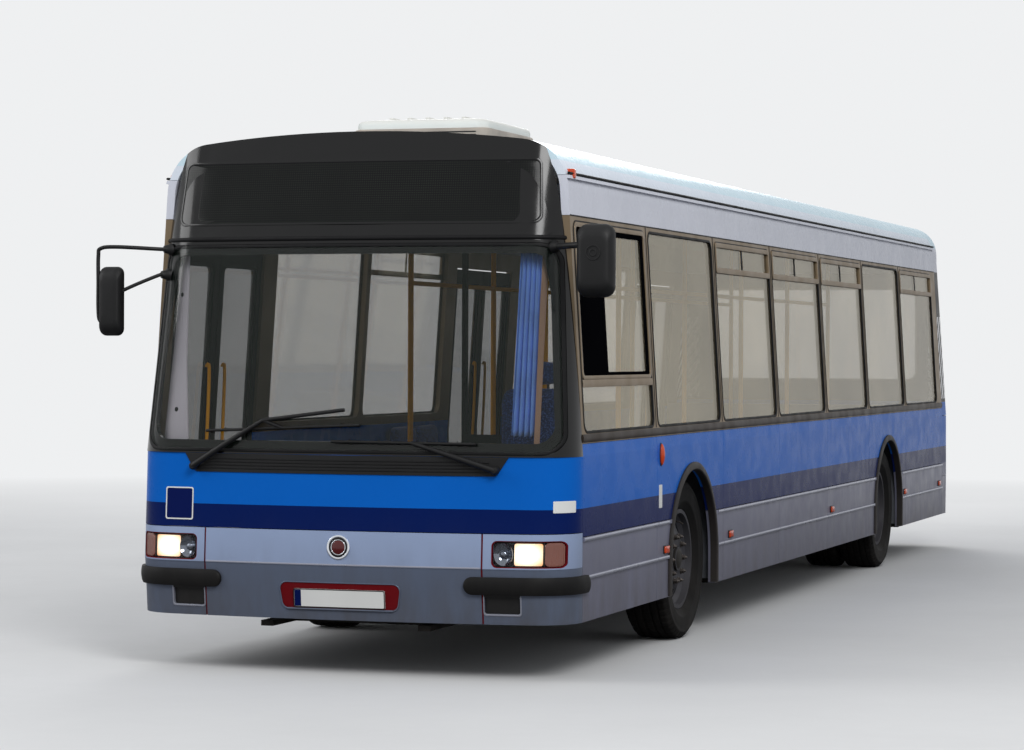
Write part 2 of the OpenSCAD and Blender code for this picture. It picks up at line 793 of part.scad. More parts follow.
module front_frame() {
    color("royalblue") difference() {
        intersection() {
            for (k = [2, 3]) nose_shell(k, 0, wall_t);
            union() {
                block(-half_w, -half_len - 50, waist_z, half_w, nose_y, roof_h + 20);
                block(-half_w, nose_y - 1, gutter_z, half_w, nose_roof_y, roof_h + 20);
            }
        }
        both_sides() block(edge_x - 100, nose_y, gutter_z - 10, half_w + 10, nose_roof_y + 10, roof_h);
        along_y(-half_len - 50, nose_y - 60) screen_aperture();
        intersection() {
            nose_shell(2, -5, 12);
            along_y(-half_len - 50, nose_y + 60) screen_outline(4);
        }
        along_y(-half_len - 50, nose_y - 60) display_outline(seat_gap);
    }
}

module windscreen() {
    color("lightcyan", 0.4) intersection() {
        nose_shell(2, 2, 11.7);
        along_y(-half_len - 50, nose_y + 60) screen_outline();
    }
}

module display_box() {
    color("black") intersection() {
        nose_shell(3, -4, wall_t);
        along_y(-half_len - 50, nose_y - 60) display_outline();
    }
}

// Where the front panel's face lies, at a distance from the centre plane and a height
function panel_y(x, z) = -half_len + nose_crown_r - sqrt(nose_crown_r * nose_crown_r - x * x)
    + (z - crease_z) * tan(NOSE_BANDS[1][1]);

// Wipers, each a spindle seated on the front panel, an arm and a blade along the screen
module wipers() {
    pivot = [860, -half_len + 40, 1110];
    right_pivot = [-pivot[0], pivot[1], pivot[2]];
    elbow = [-450, -half_len + 37, 1360];
    color("black") {
        both_sides() translate(pivot + [0, -4, 0]) rotate([-90, 0, 0])
            cylinder(r = 16, h = panel_y(pivot[0] - 16, pivot[2] - 16) - seat_gap - pivot[1] + 4);
        strut(pivot, [400, -half_len + 33, 1249], 9);
        strut([-50, -half_len + 17, 1252], [750, -half_len + 53, 1246], 8);
        strut(right_pivot, elbow, 9);
        strut(elbow, [-340, -half_len + 40, 1320], 8);
        strut(elbow, [20, -half_len + 27, 1420], 7);
        strut([-790, -half_len + 57, 1300], [110, -half_len + 23, 1340], 8);
    }
}

dash_x = 1080;
dash_y = -half_len + 620;

module dashboard() {
    color("dimgray") {
        block(-560, -half_len + 160, floor_z + 100, dash_x, -half_len + 420, 1150);
        block(150, -half_len + 420, 760, dash_x, dash_y, 1080);
        block(150, nose_y + 80, floor_z + platform_h, dash_x, dash_y - 40, 760);
    }
}

// Steering wheel with its column, which ends on the dashboard
module steering_wheel() {
    color("black") difference() {
        translate([640, -half_len + 750, 1090]) rotate([-32, 0, 0]) {
            rotate_extrude($fn = 48) translate([225, 0]) circle(r = 16, $fn = 24);
            translate([0, 0, -16]) cylinder(r = 60, h = 32);
            for (a = [0, 120, 240]) rotate(a) translate([0, -14, -8]) cube([222, 28, 16]);
            translate([0, 0, -350]) cylinder(r = 35, h = 350);
        }
        block(500, dash_y - 200, 600, 800, dash_y + seat_gap, 1080);
    }
}

module driver_seat() {
    color("darkslateblue") {
        y = -half_len + 985;
        z = floor_z + platform_h;
        block(400, y + 30, z, 880, y + 450, z + 330);
        block(390, y, z + 330, 890, y + 470, z + 440);
        block(410, y + 450, z + 440, 870, y + 570, z + 1120);
    }
}

module cab_partition() {
    color("gray") {
        y = -half_len + 1655;
        block(120, y, floor_z + platform_h, half_w - wall_t - 30, y + 30, 1250);
        block(120, y, 1250, 150, y + 30, 2500);
    }
}

// Double seats: [side, distance of the middle from the point midway between the axles]
SEATS = [[1, -1500], [1, -500], [1, 500], [1, 1500], [-1, -1500], [-1, 1500]];

module seats() {
    color("steelblue") for (seat = SEATS) {
        y = mid_axles_y + seat[1];
        mirror([seat[0] < 0 ? 1 : 0, 0, 0]) {
            block(760, y - 440, 760, half_w - wall_t - 12, y + 440, 830);
            block(1110, y - 440, 830, half_w - wall_t - 12, y + 440, 1240);
            block(900, y - 60, floor_z, 960, y + 60, 760);
        }
    }
}

RAIL_X = 430;
STANCHION_Y = [front_axle_y - 400, front_axle_y + 1200, mid_axles_y - 250, mid_axles_y + 1450,
    rear_axle_y - 100, rear_axle_y + 1500];

module handrails() {
    r = 17;
    color("gold") both_sides() {
        for (y = STANCHION_Y) translate([RAIL_X, y, floor_z])
            cylinder(r = r, h = roof_h - wall_t - floor_z - pow(RAIL_X + r, 2) / (2 * (roof_crown_r - wall_t)) - seat_gap);
        // Bars between the stanchions, each set against both
        for (i = [0 : 4]) translate([RAIL_X, STANCHION_Y[i] + r + seat_gap, 2150]) rotate([-90, 0, 0])
            cylinder(r = 14, h = STANCHION_Y[i + 1] - STANCHION_Y[i] - 2 * (r + seat_gap));
    }
}

MIRROR_REACH = 1480;

// Point off the left corner of the screen's band, at an angle round the corner and a height
function corner_point(phi, z, off) = let (
    rake = NOSE_BANDS[2][1],
    cx = half_w * cos(side_lean) - nose_corner_r,
    cy = nose_crown_r - sqrt(pow(nose_crown_r - nose_corner_r, 2) - cx * cx),
    lx = cx + (nose_corner_r + off) * cos(phi),
    ly = cy + (nose_corner_r + off) * sin(phi),
    h = ((z - waist_z - lx * sin(side_lean)) / cos(side_lean) + ly * sin(rake)) / cos(rake)
) [
    lx * cos(side_lean) - (h * cos(rake) - ly * sin(rake)) * sin(side_lean),
    -half_len + band_back(NOSE_BANDS, 2) + ly * cos(rake) + h * sin(rake),
    z
];

// Arm from its boss on the screen's corner to a point in front of it
module mirror_arm(z, end, r) {
    strut(corner_point(-45, z, seat_gap + 1), corner_point(-45, z, 60), r + 6);
    strut(corner_point(-45, z, 46), end, r);
}

module mirrors() {
    tube = 10;
    out = MIRROR_REACH - tube;
    head_y = -half_len + 95;
    color("black") {
        // Right: a tube frame from the screen's corner, with a tall head beside the tube
        mirror([1, 0, 0]) {
            mirror_arm(2290, [out, head_y + 30, 2290], tube);
            mirror_arm(2150, [out, head_y + 30, 1990], tube);
            translate([out, head_y + 30, 1880]) cylinder(r = tube, h = 412);
            block(out - tube - 130, head_y, 1815, out - tube + 4, head_y + 60, 2190);
        }
        // Left: a head on a short arm
        block(MIRROR_REACH - 205, head_y, 2020, MIRROR_REACH, head_y + 70, 2400);
        mirror_arm(2290, [MIRROR_REACH - 120, head_y + 35, 2290], 14);
    }
}

// Small lamps along the skirts: middles on the left side and on the right side
LAMPS_LEFT = [front_axle_y - 648, front_axle_y + 930, 768, rear_axle_y + 735, half_len - 595];
LAMPS_RIGHT = [front_axle_y - 700, front_axle_y + 930, 768, rear_axle_y + 850, half_len - 595];

module marker_lamps() {
    color("orange") {
        for (y = LAMPS_LEFT) wall(1, y - 45, y + 45, 563, 600, -14, -seat_gap);
        for (y = LAMPS_RIGHT) wall(-1, y - 45, y + 45, 563, 600, -14, -seat_gap);
    }
}

// Rear

HATCH_HALF = 900;
HATCH_Z = [672, 1150];

module rear_lamp_outline(grow = 0) {
    for (s = [-1, 1]) translate([s * 1090 - 55 - grow, 800 - grow]) square([110 + 2 * grow, 340 + 2 * grow]);
}

module rear_panel() {
    color("royalblue") difference() {
        union() {
            intersection() {
                tail_shell(1, 0, wall_t);
                block(-half_w, tail_y, rear_bumper_z, half_w, half_len + 60, waist_z - panel_gap);
            }
            for (k = [2, 3]) tail_shell(k, 0, wall_t);
        }
        along_y(tail_y + 60, half_len + 60) {
            rear_glass_outline();
            soft(-HATCH_HALF - 6, HATCH_Z[0] - 12, HATCH_HALF + 6, HATCH_Z[1] + 6, 26);
            rear_lamp_outline();
        }
    }
}

module engine_hatch() {
    color("royalblue") difference() {
        intersection() {
            tail_shell(1, 0, wall_t - 10);
            along_y(tail_y + 60, half_len + 60)
                soft(-HATCH_HALF, HATCH_Z[0], HATCH_HALF, HATCH_Z[1], 20);
        }
        for (i = [0 : 7]) block(-700, tail_y, 720 + i * 48, 700, half_len + 60, 744 + i * 48);
    }
}

module rear_bumper() {
    color("silver") intersection() {
        tail_shell(0, 0, wall_t);
        block(-half_w - 40, tail_y + panel_gap, skirt_z, half_w + 40, half_len + 60, rear_bumper_z - panel_gap);
    }
}

module rear_lamps() {
    color("red") intersection() {
        tail_shell(1, 5, wall_t);
        along_y(tail_y + 60, half_len + 60) rear_lamp_outline();
    }
}

// Door leaf: end is -1 for the front leaf and 1 for the rear leaf of the doorway in bay n
module door_leaf(n, end) {
    mid = bay_mid_y(n);
    near = mid + end * leaf_mid_gap / 2;
    far = mid + end * (door_w / 2 - leaf_gap);
    y0 = min(near, far);
    y1 = max(near, far);
    top = door_top_z - leaf_gap;
    color("slategray") {
        difference() {
            wall(-1, y0, y1, leaf_z0, top, 0, leaf_t);
            along_x(-half_w - 60, -600) rounded(y0 + 60, leaf_z0 + 150, y1 - 60, top - 90, 50);
        }
        intersection() {
            wall(-1, y0, y1, leaf_z0, top, 10, 18);
            along_x(-half_w - 60, -600) rounded(y0 + 60, leaf_z0 + 150, y1 - 60, top - 90, 50);
        }
    }
}

chassis_frame();
floor();
front_fascia();
bumper_centre();
bumper_corners();
bumper_rubbers();
headlamps();
front_frame();
windscreen();
display_box();
wipers();
window_frame_left();
window_frame_right();
side_panels();
skirts();
window_glass();
coves();
roof();
ac_unit();
rear_panel();
rear_bumper();
rear_lamps();
engine();
front_axle();
rear_axle();
seats();
driver_seat();
dashboard();
steering_wheel();
cab_partition();
handrails();
mirrors();
marker_lamps();
knuckle(1);  // knuckle_left
knuckle(-1);  // knuckle_right
tie_rod();
color("gray") at_wheel(1, front_axle_y) front_rim();  // rim_front_left
color("black") at_wheel(1, front_axle_y) tyre_ring();  // tyre_front_left
color("gray") at_wheel(-1, front_axle_y) front_rim();  // rim_front_right
color("black") at_wheel(-1, front_axle_y) tyre_ring();  // tyre_front_right
color("gray") at_wheel(1, rear_axle_y) rear_rims();  // rims_rear_left
color("black") at_wheel(1, rear_axle_y) {  // tyres_rear_left
    tyre_ring();
    translate([0, 0, -twin_pitch]) tyre_ring();
}
color("gray") at_wheel(-1, rear_axle_y) rear_rims();  // rims_rear_right
color("black") at_wheel(-1, rear_axle_y) {  // tyres_rear_right
    tyre_ring();
    translate([0, 0, -twin_pitch]) tyre_ring();
}
door_leaf(DOOR_BAYS[0], -1);  // door_1_front
door_leaf(DOOR_BAYS[0], 1);  // door_1_rear
door_leaf(DOOR_BAYS[1], -1);  // door_2_front
door_leaf(DOOR_BAYS[1], 1);  // door_2_rear
door_leaf(DOOR_BAYS[2], -1);  // door_3_front
door_leaf(DOOR_BAYS[2], 1);  // door_3_rear
engine_hatch();
roof_hatch(HATCH_Y[0]);  // roof_hatch_front
roof_hatch(HATCH_Y[1]);  // roof_hatch_rear
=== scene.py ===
"""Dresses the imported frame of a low-floor airport bus, from its finishes to its seats."""

import json
import math

import bmesh
import bpy
import numpy as np
from bpy.props import FloatProperty, FloatVectorProperty, IntProperty, PointerProperty
from mathutils import Matrix, Vector


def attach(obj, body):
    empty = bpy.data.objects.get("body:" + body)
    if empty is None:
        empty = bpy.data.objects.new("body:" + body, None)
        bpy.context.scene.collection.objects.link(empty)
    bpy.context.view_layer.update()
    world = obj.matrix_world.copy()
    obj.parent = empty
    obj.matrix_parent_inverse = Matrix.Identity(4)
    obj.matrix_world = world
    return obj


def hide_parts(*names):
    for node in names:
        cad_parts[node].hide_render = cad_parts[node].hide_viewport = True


bl_info = {
    "name": "Airport Passenger Bus",
    "version": (1, 0, 0),
    "blender": (4, 5, 0),
    "location": "3D View > Sidebar > Bus",
    "description": "Dresses the packed frame of a low-floor airport bus",
    "category": "Object",
}

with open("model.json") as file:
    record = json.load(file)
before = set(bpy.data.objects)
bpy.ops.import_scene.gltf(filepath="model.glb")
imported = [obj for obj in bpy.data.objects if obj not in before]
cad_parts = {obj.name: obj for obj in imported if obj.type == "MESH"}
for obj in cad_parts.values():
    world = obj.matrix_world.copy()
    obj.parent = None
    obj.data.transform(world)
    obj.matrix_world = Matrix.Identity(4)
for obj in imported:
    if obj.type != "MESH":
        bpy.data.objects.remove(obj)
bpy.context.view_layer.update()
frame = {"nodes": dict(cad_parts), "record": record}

DEG = math.pi / 180

# Body in metres, as the source of the part has it
HALF_WIDTH = 1.25
HALF_LENGTH = 5.995
WAIST = 1.18
LEAN = 3.6 * DEG
NOSE_Y = -5.64
TAIL_Y = 5.56
SKIRT_Z, BELT_Z, GLASS_Z, CANTRAIL_Z, GUTTER_Z = 0.30, 0.755, 1.30, 2.46, 2.675
HEADER_Z = 2.325
PITCH = 1.585
POST_Y = -5.725 + PITCH * np.arange(8)
TYRE_R, TRACK, TWIN, ARCH_R = 0.482, 1.06, 0.31, 0.545
AXLES = (-3.30, 3.00)
DOOR_BAYS, DOOR_HALF, DOOR_TOP = (0, 3, 6), 0.625, 2.33
# Radii of the ends' plans, the shallow arc and the corner's, and rakes of the nose
NOSE_CROWN, NOSE_CORNER, TAIL_CROWN, TAIL_CORNER = 7.7, 0.26, 14.0, 0.18
CHIN_RAKE, SCREEN_RAKE = -6, 6.5
SET_BACK = 0.002  # the bumper's foremost line behind the whole length
# Bands of the two ends from the bottom up: height where the band starts, rake, lean of the sides
# and half-width of its plan
NOSE_BANDS = np.array([[0.59, CHIN_RAKE, 0, HALF_WIDTH], [0.59, 3, 0, HALF_WIDTH],
                       [WAIST, SCREEN_RAKE, 3.6, HALF_WIDTH * math.cos(LEAN)],
                       [HEADER_Z, 12, 0, 1.179]])
TAIL_BANDS = np.array([[0.64, -3, 0, HALF_WIDTH], [0.64, 2, 0, HALF_WIDTH],
                       [WAIST, 2, 3.6, HALF_WIDTH * math.cos(LEAN)], [2.56, 10, 0, 1.164]])


# Surfaces: a place is a function of two coordinates and a distance off the skin

def unit(v):
    """Vectors of length one in the same directions."""
    return v / np.maximum(np.linalg.norm(v, axis=-1, keepdims=True), 1e-12)


def corner_centre(half, crown, corner):
    """Centre of the corner's arc of a plan, across and behind the foremost point: the arc touches
    the side and, from inside, the shallow arc."""
    cx = half - corner
    return cx, crown - np.sqrt((crown - corner) ** 2 - cx ** 2)


def end_depth(x, z, bands, crown, corner):
    """Distance of an end's skin behind its foremost line. Each band is a plan, a shallow arc of
    radius crown that turns into corner arcs, carried up a plane that leans by the band's rake."""
    x, z = np.broadcast_arrays(np.abs(np.asarray(x, float)), np.asarray(z, float))
    k = np.clip(np.searchsorted(bands[1:, 0], z, side="right"), 0, 3)
    start, rake, lean, half = bands[k, 0], bands[k, 1] * DEG, bands[k, 2] * DEG, bands[k, 3]
    rises = np.r_[0, np.cumsum((bands[2:, 0] - bands[1:-1, 0]) * np.tan(bands[1:-1, 1] * DEG))]
    back = np.r_[SET_BACK, rises][k]
    dz = z - start
    lx = x * np.cos(lean) + dz * np.sin(lean)
    up = dz * np.cos(lean) - x * np.sin(lean)
    cx, cy = corner_centre(half, crown, corner)
    middle = crown - np.sqrt(crown ** 2 - lx ** 2)
    bend = cy - np.sqrt(np.clip(corner ** 2 - (lx - cx) ** 2, 1e-9, None))
    ly = np.where(lx <= cx * crown / (crown - corner), middle, bend)
    return back + ly / np.cos(rake) + up * np.tan(rake)


def on_end(sign, bands, crown, corner):
    """Place on the nose (sign -1) or the tail (sign 1): the skin's point plus off times its normal,
    which comes from the slopes of the depth across and up."""
    def place(x, z, off=0.0):
        x, z = np.broadcast_arrays(np.asarray(x, float), np.asarray(z, float))
        y = end_depth(x, z, bands, crown, corner)
        e = 1e-4
        yx = (end_depth(x + e, z, bands, crown, corner) - y) / e
        yz = (end_depth(x, z + e, bands, crown, corner) - y) / e
        n = unit(np.stack([yx, -np.ones_like(y), yz], -1))
        p = np.stack([x, y - HALF_LENGTH, z], -1) + n * np.asarray(off)[..., None]
        return p * np.array([1, -sign, 1])

    return place


def on_side(s):
    """Place on a side wall, s 1 on the left and -1 on the right: upright to the waist, then
    leaning inwards; y and z run along the wall."""
    def place(y, z, off=0.0):
        y, z, off = np.broadcast_arrays(np.asarray(y, float), np.asarray(z, float), off)
        lean = np.where(z > WAIST, LEAN, 0.0)
        x = HALF_WIDTH - np.maximum(z - WAIST, 0) * math.tan(LEAN) + off * np.cos(lean)
        return np.stack([s * x, y, z + off * np.sin(lean)], -1)

    return place


def on_plane(origin, across, up):
    """Place on a plane through origin with its own axes across and up."""
    o, a, b = (np.array(v, float) for v in (origin, across, up))
    a, b = unit(a), unit(b)
    n = np.cross(a, b)

    def place(u, v, off=0.0):
        u, v, off = np.broadcast_arrays(np.asarray(u, float), np.asarray(v, float), off)
        return o + u[..., None] * a + v[..., None] * b + off[..., None] * n

    return place


def along_nose(s, z, off=0.0):
    """Place on the lower nose by the distance s along its plan from the centre plane: on the
    shallow arc, then round the corner's arc, then straight back along the wall."""
    s, z, off = np.broadcast_arrays(np.asarray(s, float), np.asarray(z, float), off)
    crown, corner = NOSE_CROWN, NOSE_CORNER
    cx, cy = corner_centre(HALF_WIDTH, crown, corner)
    a0 = math.asin(cx / (crown - corner))
    l0, l1 = crown * a0, crown * a0 + corner * (math.pi / 2 - a0)
    a = np.where(s < l0, s / crown, np.minimum(a0 + (s - l0) / corner, math.pi / 2))
    x = np.where(s < l0, crown * np.sin(a), cx + corner * np.sin(a))
    ly = np.where(s < l0, crown - crown * np.cos(a), cy - corner * np.cos(a))
    ly = ly + np.maximum(s - l1, 0)
    rake = CHIN_RAKE * DEG
    y = SET_BACK - HALF_LENGTH + ly / math.cos(rake) + (z - NOSE_BANDS[1, 0]) * math.tan(rake)
    return np.stack([x + off * np.sin(a), y - off * np.cos(a), z], -1)


on_nose = on_end(-1, NOSE_BANDS, NOSE_CROWN, NOSE_CORNER)
on_tail = on_end(1, TAIL_BANDS, TAIL_CROWN, TAIL_CORNER)
LEFT, RIGHT = on_side(1), on_side(-1)


def outward(place, u, v):
    """Direction straight off a skin at a place."""
    return unit(place(u, v, 0.0) - place(u, v, -0.01))


# Outlines and solids made of grids

def outline(corners, r, arc=6, side=10):
    """Rounded polygon: at each corner an arc of radius r that touches both sides, and between the
    arcs straight sides in equal steps."""
    c = np.asarray(corners, float)
    r = np.broadcast_to(np.asarray(r, float), len(c))[:, None]
    back, ahead = unit(np.roll(c, 1, 0) - c), unit(np.roll(c, -1, 0) - c)
    half = np.arccos(np.clip((back * ahead).sum(1, keepdims=True), -1, 1)) / 2
    centre = c + unit(back + ahead) * r / np.sin(half)
    first, last = c + back * r / np.tan(half), c + ahead * r / np.tan(half)
    a0 = np.arctan2(*(first - centre).T[::-1])
    a1 = np.arctan2(*(last - centre).T[::-1])
    turn = (a1 - a0 + np.pi) % (2 * np.pi) - np.pi
    t = np.linspace(0, 1, arc + 1)
    ang = a0[:, None] + turn[:, None] * t
    arcs = centre[:, None] + r[:, None] * np.stack([np.cos(ang), np.sin(ang)], -1)
    s = np.linspace(0, 1, side + 1)[1:-1, None]
    sides = last[:, None] * (1 - s) + np.roll(first, -1, 0)[:, None] * s
    return np.concatenate([arcs, sides], 1).reshape(-1, 2)


def rect(x0, y0, x1, y1, r, arc=6, side=10):
    """Rounded rectangle between two corners."""
    return outline([(x0, y0), (x1, y0), (x1, y1), (x0, y1)], r, arc, side)


def upright(z0, w0, z1, w1, r, arc=8, side=16):
    """Rounded trapezium about the centre plane, w0 half-wide at z0 and w1 half-wide at z1."""
    return outline([(-w0, z0), (w0, z0), (w1, z1), (-w1, z1)], r, arc, side)


def grid(points, wrap_u=False, wrap_v=False):
    """Four-sided faces between neighbours of a grid of points, joined round where it wraps."""
    n, m = points.shape[:2]
    i = np.arange(n if wrap_u else n - 1)[:, None]
    j = np.arange(m if wrap_v else m - 1)[None, :]
    i2, j2 = (i + 1) % n, (j + 1) % m
    quads = np.stack(np.broadcast_arrays(i * m + j, i2 * m + j, i2 * m + j2, i * m + j2), -1)
    return points.reshape(-1, 3), quads.reshape(-1, 4)


def tile(place, edge, off0, off1, bevel=0.0015, fill=5, crown=0.0):
    """Closed plate on a skin: rings of the outline shrink to its middle on the back, climb the rim,
    turn over a rounded edge and shrink again on the face, which may be crowned."""
    c = edge.mean(0)
    reach = np.abs(edge - c).max()
    s_back = np.linspace(0, 1, fill + 1)
    turn = np.linspace(0, np.pi / 2, 4)[1:]
    s_edge = 1 - bevel * (1 - np.cos(turn)) / reach
    o_edge = off1 - bevel * (1 - np.sin(turn))
    s_face = np.linspace(s_edge[-1], 0, fill + 1)[1:]
    scale = np.r_[s_back, 1, s_edge, s_face]
    off = np.r_[np.full(fill + 1, off0), off1 - bevel, o_edge, off1 + crown * (1 - s_face ** 2)]
    p = c + (edge - c)[None] * scale[:, None, None]
    return grid(place(p[..., 0], p[..., 1], np.broadcast_to(off[:, None], p.shape[:2])),
                wrap_v=True)


def ring(place, outer, inner, off0, off1, bevel=0.0015, fill=2):
    """Closed frame on a skin between two outlines of equal count: each point slides from the outer
    to the inner one while its distance off the skin climbs, stays and falls with rounded edges."""
    width = np.linalg.norm(outer - inner, axis=1).mean()
    b = min(bevel / max(width, 1e-6), 0.3)
    t = np.r_[0, 0, b * 0.3, np.linspace(b, 1 - b, fill + 1), 1 - b * 0.3, 1, 1]
    off = np.r_[off0, off1 - bevel, off1 - bevel * 0.3, np.full(fill + 1, off1), off1 - bevel * 0.3,
                off1 - bevel, off0]
    p = outer[None] * (1 - t[:, None, None]) + inner[None] * t[:, None, None]
    return grid(place(p[..., 0], p[..., 1], np.broadcast_to(off[:, None], p.shape[:2])),
                wrap_u=True, wrap_v=True)


def strip(place, left, right, section):
    """Moulding along a skin: left and right are its two edges, section lists its share of the way
    from left to right and its distance off the skin. The ends are drawn in to a point."""
    left, right = np.asarray(left, float), np.asarray(right, float)
    t, off = np.array(section, float).T
    p = left[:, None] * (1 - t[None, :, None]) + right[:, None] * t[None, :, None]
    pts = place(p[..., 0], p[..., 1], np.broadcast_to(off[None], p.shape[:2]))
    ends = pts.mean(1, keepdims=True).repeat(pts.shape[1], 1)
    return grid(np.concatenate([ends[:1], pts, ends[-1:]]), wrap_v=True)


def level(u0, u1, steps, v):
    """Straight run of points at one height."""
    u = np.linspace(u0, u1, steps + 1)
    return np.stack([u, np.full_like(u, v)], -1)


def level_z(x, z0, z1, steps):
    """Upright run of points at one place across."""
    z = np.linspace(z0, z1, steps + 1)
    return np.stack([np.full_like(z, x), z], -1)


def dotted(r, squash=1.0, centre=(0.0, 0.0), n=24):
    """Round outline: points at equal angles, r across and r times squash up."""
    a = np.arange(n) * 2 * np.pi / n
    return np.stack([centre[0] + r * np.cos(a), centre[1] + r * squash * np.sin(a)], -1)


HALF_ROUND = ((0, -0.001), (0, 0.5), (0.15, 0.8), (0.35, 0.97), (0.5, 1), (0.65, 0.97), (0.85, 0.8),
              (1, 0.5), (1, -0.001))


def bead(height, depth=0.001):
    """Half-round section of a moulding of that height."""
    return [(t, o * height if o > 0 else -depth) for t, o in HALF_ROUND]


def tube(path, r, sides=12, ref=(0, 0, 1)):
    """Round bar: a circle carried along the path, square to it, with rounded ends."""
    path = np.asarray(path, float)
    d = unit(np.gradient(path, axis=0))
    a = unit(np.cross(d, np.array(ref, float)))
    b = np.cross(a, d)
    r = np.broadcast_to(np.asarray(r, float), len(path))
    ang = np.linspace(0, 2 * np.pi, sides, endpoint=False)
    circle = np.cos(ang)[None, :, None] * a[:, None] + np.sin(ang)[None, :, None] * b[:, None]
    pts = path[:, None] + circle * r[:, None, None]
    caps = []
    for end, step in ((0, -1), (-1, 1)):
        cap = [path[end] + step * d[end] * r[end] * h + circle[end] * r[end] * w
               for h, w in ((0.2, 0.85), (0.3, 0.5), (0.32, 0))]
        caps.append(np.array(cap))
    return grid(np.concatenate([caps[0][::-1], pts, caps[1]]), wrap_v=True)


def smooth_path(points, steps=8):
    """Centripetal curve through a few points: each span is a cubic with the slopes of its
    neighbours."""
    p = np.asarray(points, float)
    q = np.concatenate([2 * p[:1] - p[1:2], p, 2 * p[-1:] - p[-2:-1]])
    t = np.linspace(0, 1, steps, endpoint=False)[None, :, None]
    a, b, c, d = (q[i:len(q) - 3 + i, None] for i in range(4))
    s = 0.5 * (2 * b + (c - a) * t + (2 * a - 5 * b + 4 * c - d) * t ** 2
               + (3 * b - a - 3 * c + d) * t ** 3)
    return np.concatenate([s.reshape(-1, 3), p[-1:]])


def spin(profile, origin, axis, sides=48, ref=(0, 0, 1), wrap=False, stretch=(1, 1)):
    """Turned form: a profile of radius and height carried round an axis and stretched."""
    profile = np.asarray(profile, float)
    axis = unit(np.array(axis, float))
    a = unit(np.cross(axis, np.array(ref, float)))
    b = np.cross(axis, a)
    ang = np.linspace(0, 2 * np.pi, sides, endpoint=False)
    circle = np.cos(ang)[:, None] * a * stretch[0] + np.sin(ang)[:, None] * b * stretch[1]
    pts = (np.array(origin, float) + profile[:, None, :1] * circle[None]
           + profile[:, None, 1:] * axis)
    return grid(pts, wrap_u=wrap, wrap_v=True)


def pad(lo, hi, power=0.3, n=20, m=40):
    """Rounded block: an ellipsoid whose sine and cosine are raised to a power, filled out to the
    corners of its box."""
    lo, hi = np.array(lo, float), np.array(hi, float)
    u = np.linspace(-np.pi / 2, np.pi / 2, n + 1)[:, None]
    v = np.linspace(-np.pi, np.pi, m, endpoint=False)[None]

    def f(w):
        return np.sign(w) * np.abs(w) ** power

    p = np.stack(np.broadcast_arrays(f(np.cos(u)) * f(np.cos(v)), f(np.cos(u)) * f(np.sin(v)),
                                     f(np.sin(u))), -1)
    p[0], p[-1] = (0, 0, -1), (0, 0, 1)
    return grid((lo + hi) / 2 + p * (hi - lo) / 2, wrap_v=True)


def mirrored(shape):
    """The same shape on the other side of the centre plane, its faces turned back outwards."""
    pts, quads = shape
    return pts * (-1, 1, 1), quads[:, ::-1]


def both(shapes):
    """The shapes and their mirror images."""
    return [*shapes, *(mirrored(s) for s in shapes)]


def close(mesh):
    """Merges doubled points and turns the faces outwards."""
    bm = bmesh.new()
    bm.from_mesh(mesh)
    bmesh.ops.remove_doubles(bm, verts=bm.verts, dist=1e-6)
    bmesh.ops.dissolve_degenerate(bm, dist=1e-7, edges=bm.edges)
    bmesh.ops.recalc_face_normals(bm, faces=bm.faces)
    bm.to_mesh(mesh)
    bm.free()


def piece(name, body, shapes, finish, replaces=(), sharp=32, bevel=0.0):
    """Puts grids into one mesh with a finish, closes it and lets it ride on a body."""
    mesh = bpy.data.meshes.new(name)
    counts = np.cumsum([0] + [len(p) for p, _ in shapes])
    verts = np.concatenate([p for p, _ in shapes])
    faces = np.concatenate([q + n for (_, q), n in zip(shapes, counts)])
    if not np.isfinite(verts).all():
        raise RuntimeError(f"{name}: a point isn't a number")
    mesh.from_pydata(verts.tolist(), [], faces.tolist())
    close(mesh)
    mesh.shade_smooth()
    mesh.set_sharp_from_angle(angle=sharp * DEG)
    obj = bpy.data.objects.new(name, mesh)
    bpy.context.scene.collection.objects.link(obj)
    mesh.materials.append(FINISHES[finish])
    if bevel:
        mod = obj.modifiers.new("Soft edges", "BEVEL")
        mod.width, mod.segments, mod.limit_method = bevel, 2, "ANGLE"
    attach(obj, body)
    if replaces:
        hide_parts(*replaces)
    return obj


# Finishes

FINISHES = {}


def linear(colour):
    """Colour as mixed by a painter, from screen values to linear ones."""
    c = np.asarray(colour[:3], float)
    return tuple(np.where(c <= 0.04045, c / 12.92, ((c + 0.055) / 1.055) ** 2.4)) + (1.0,)


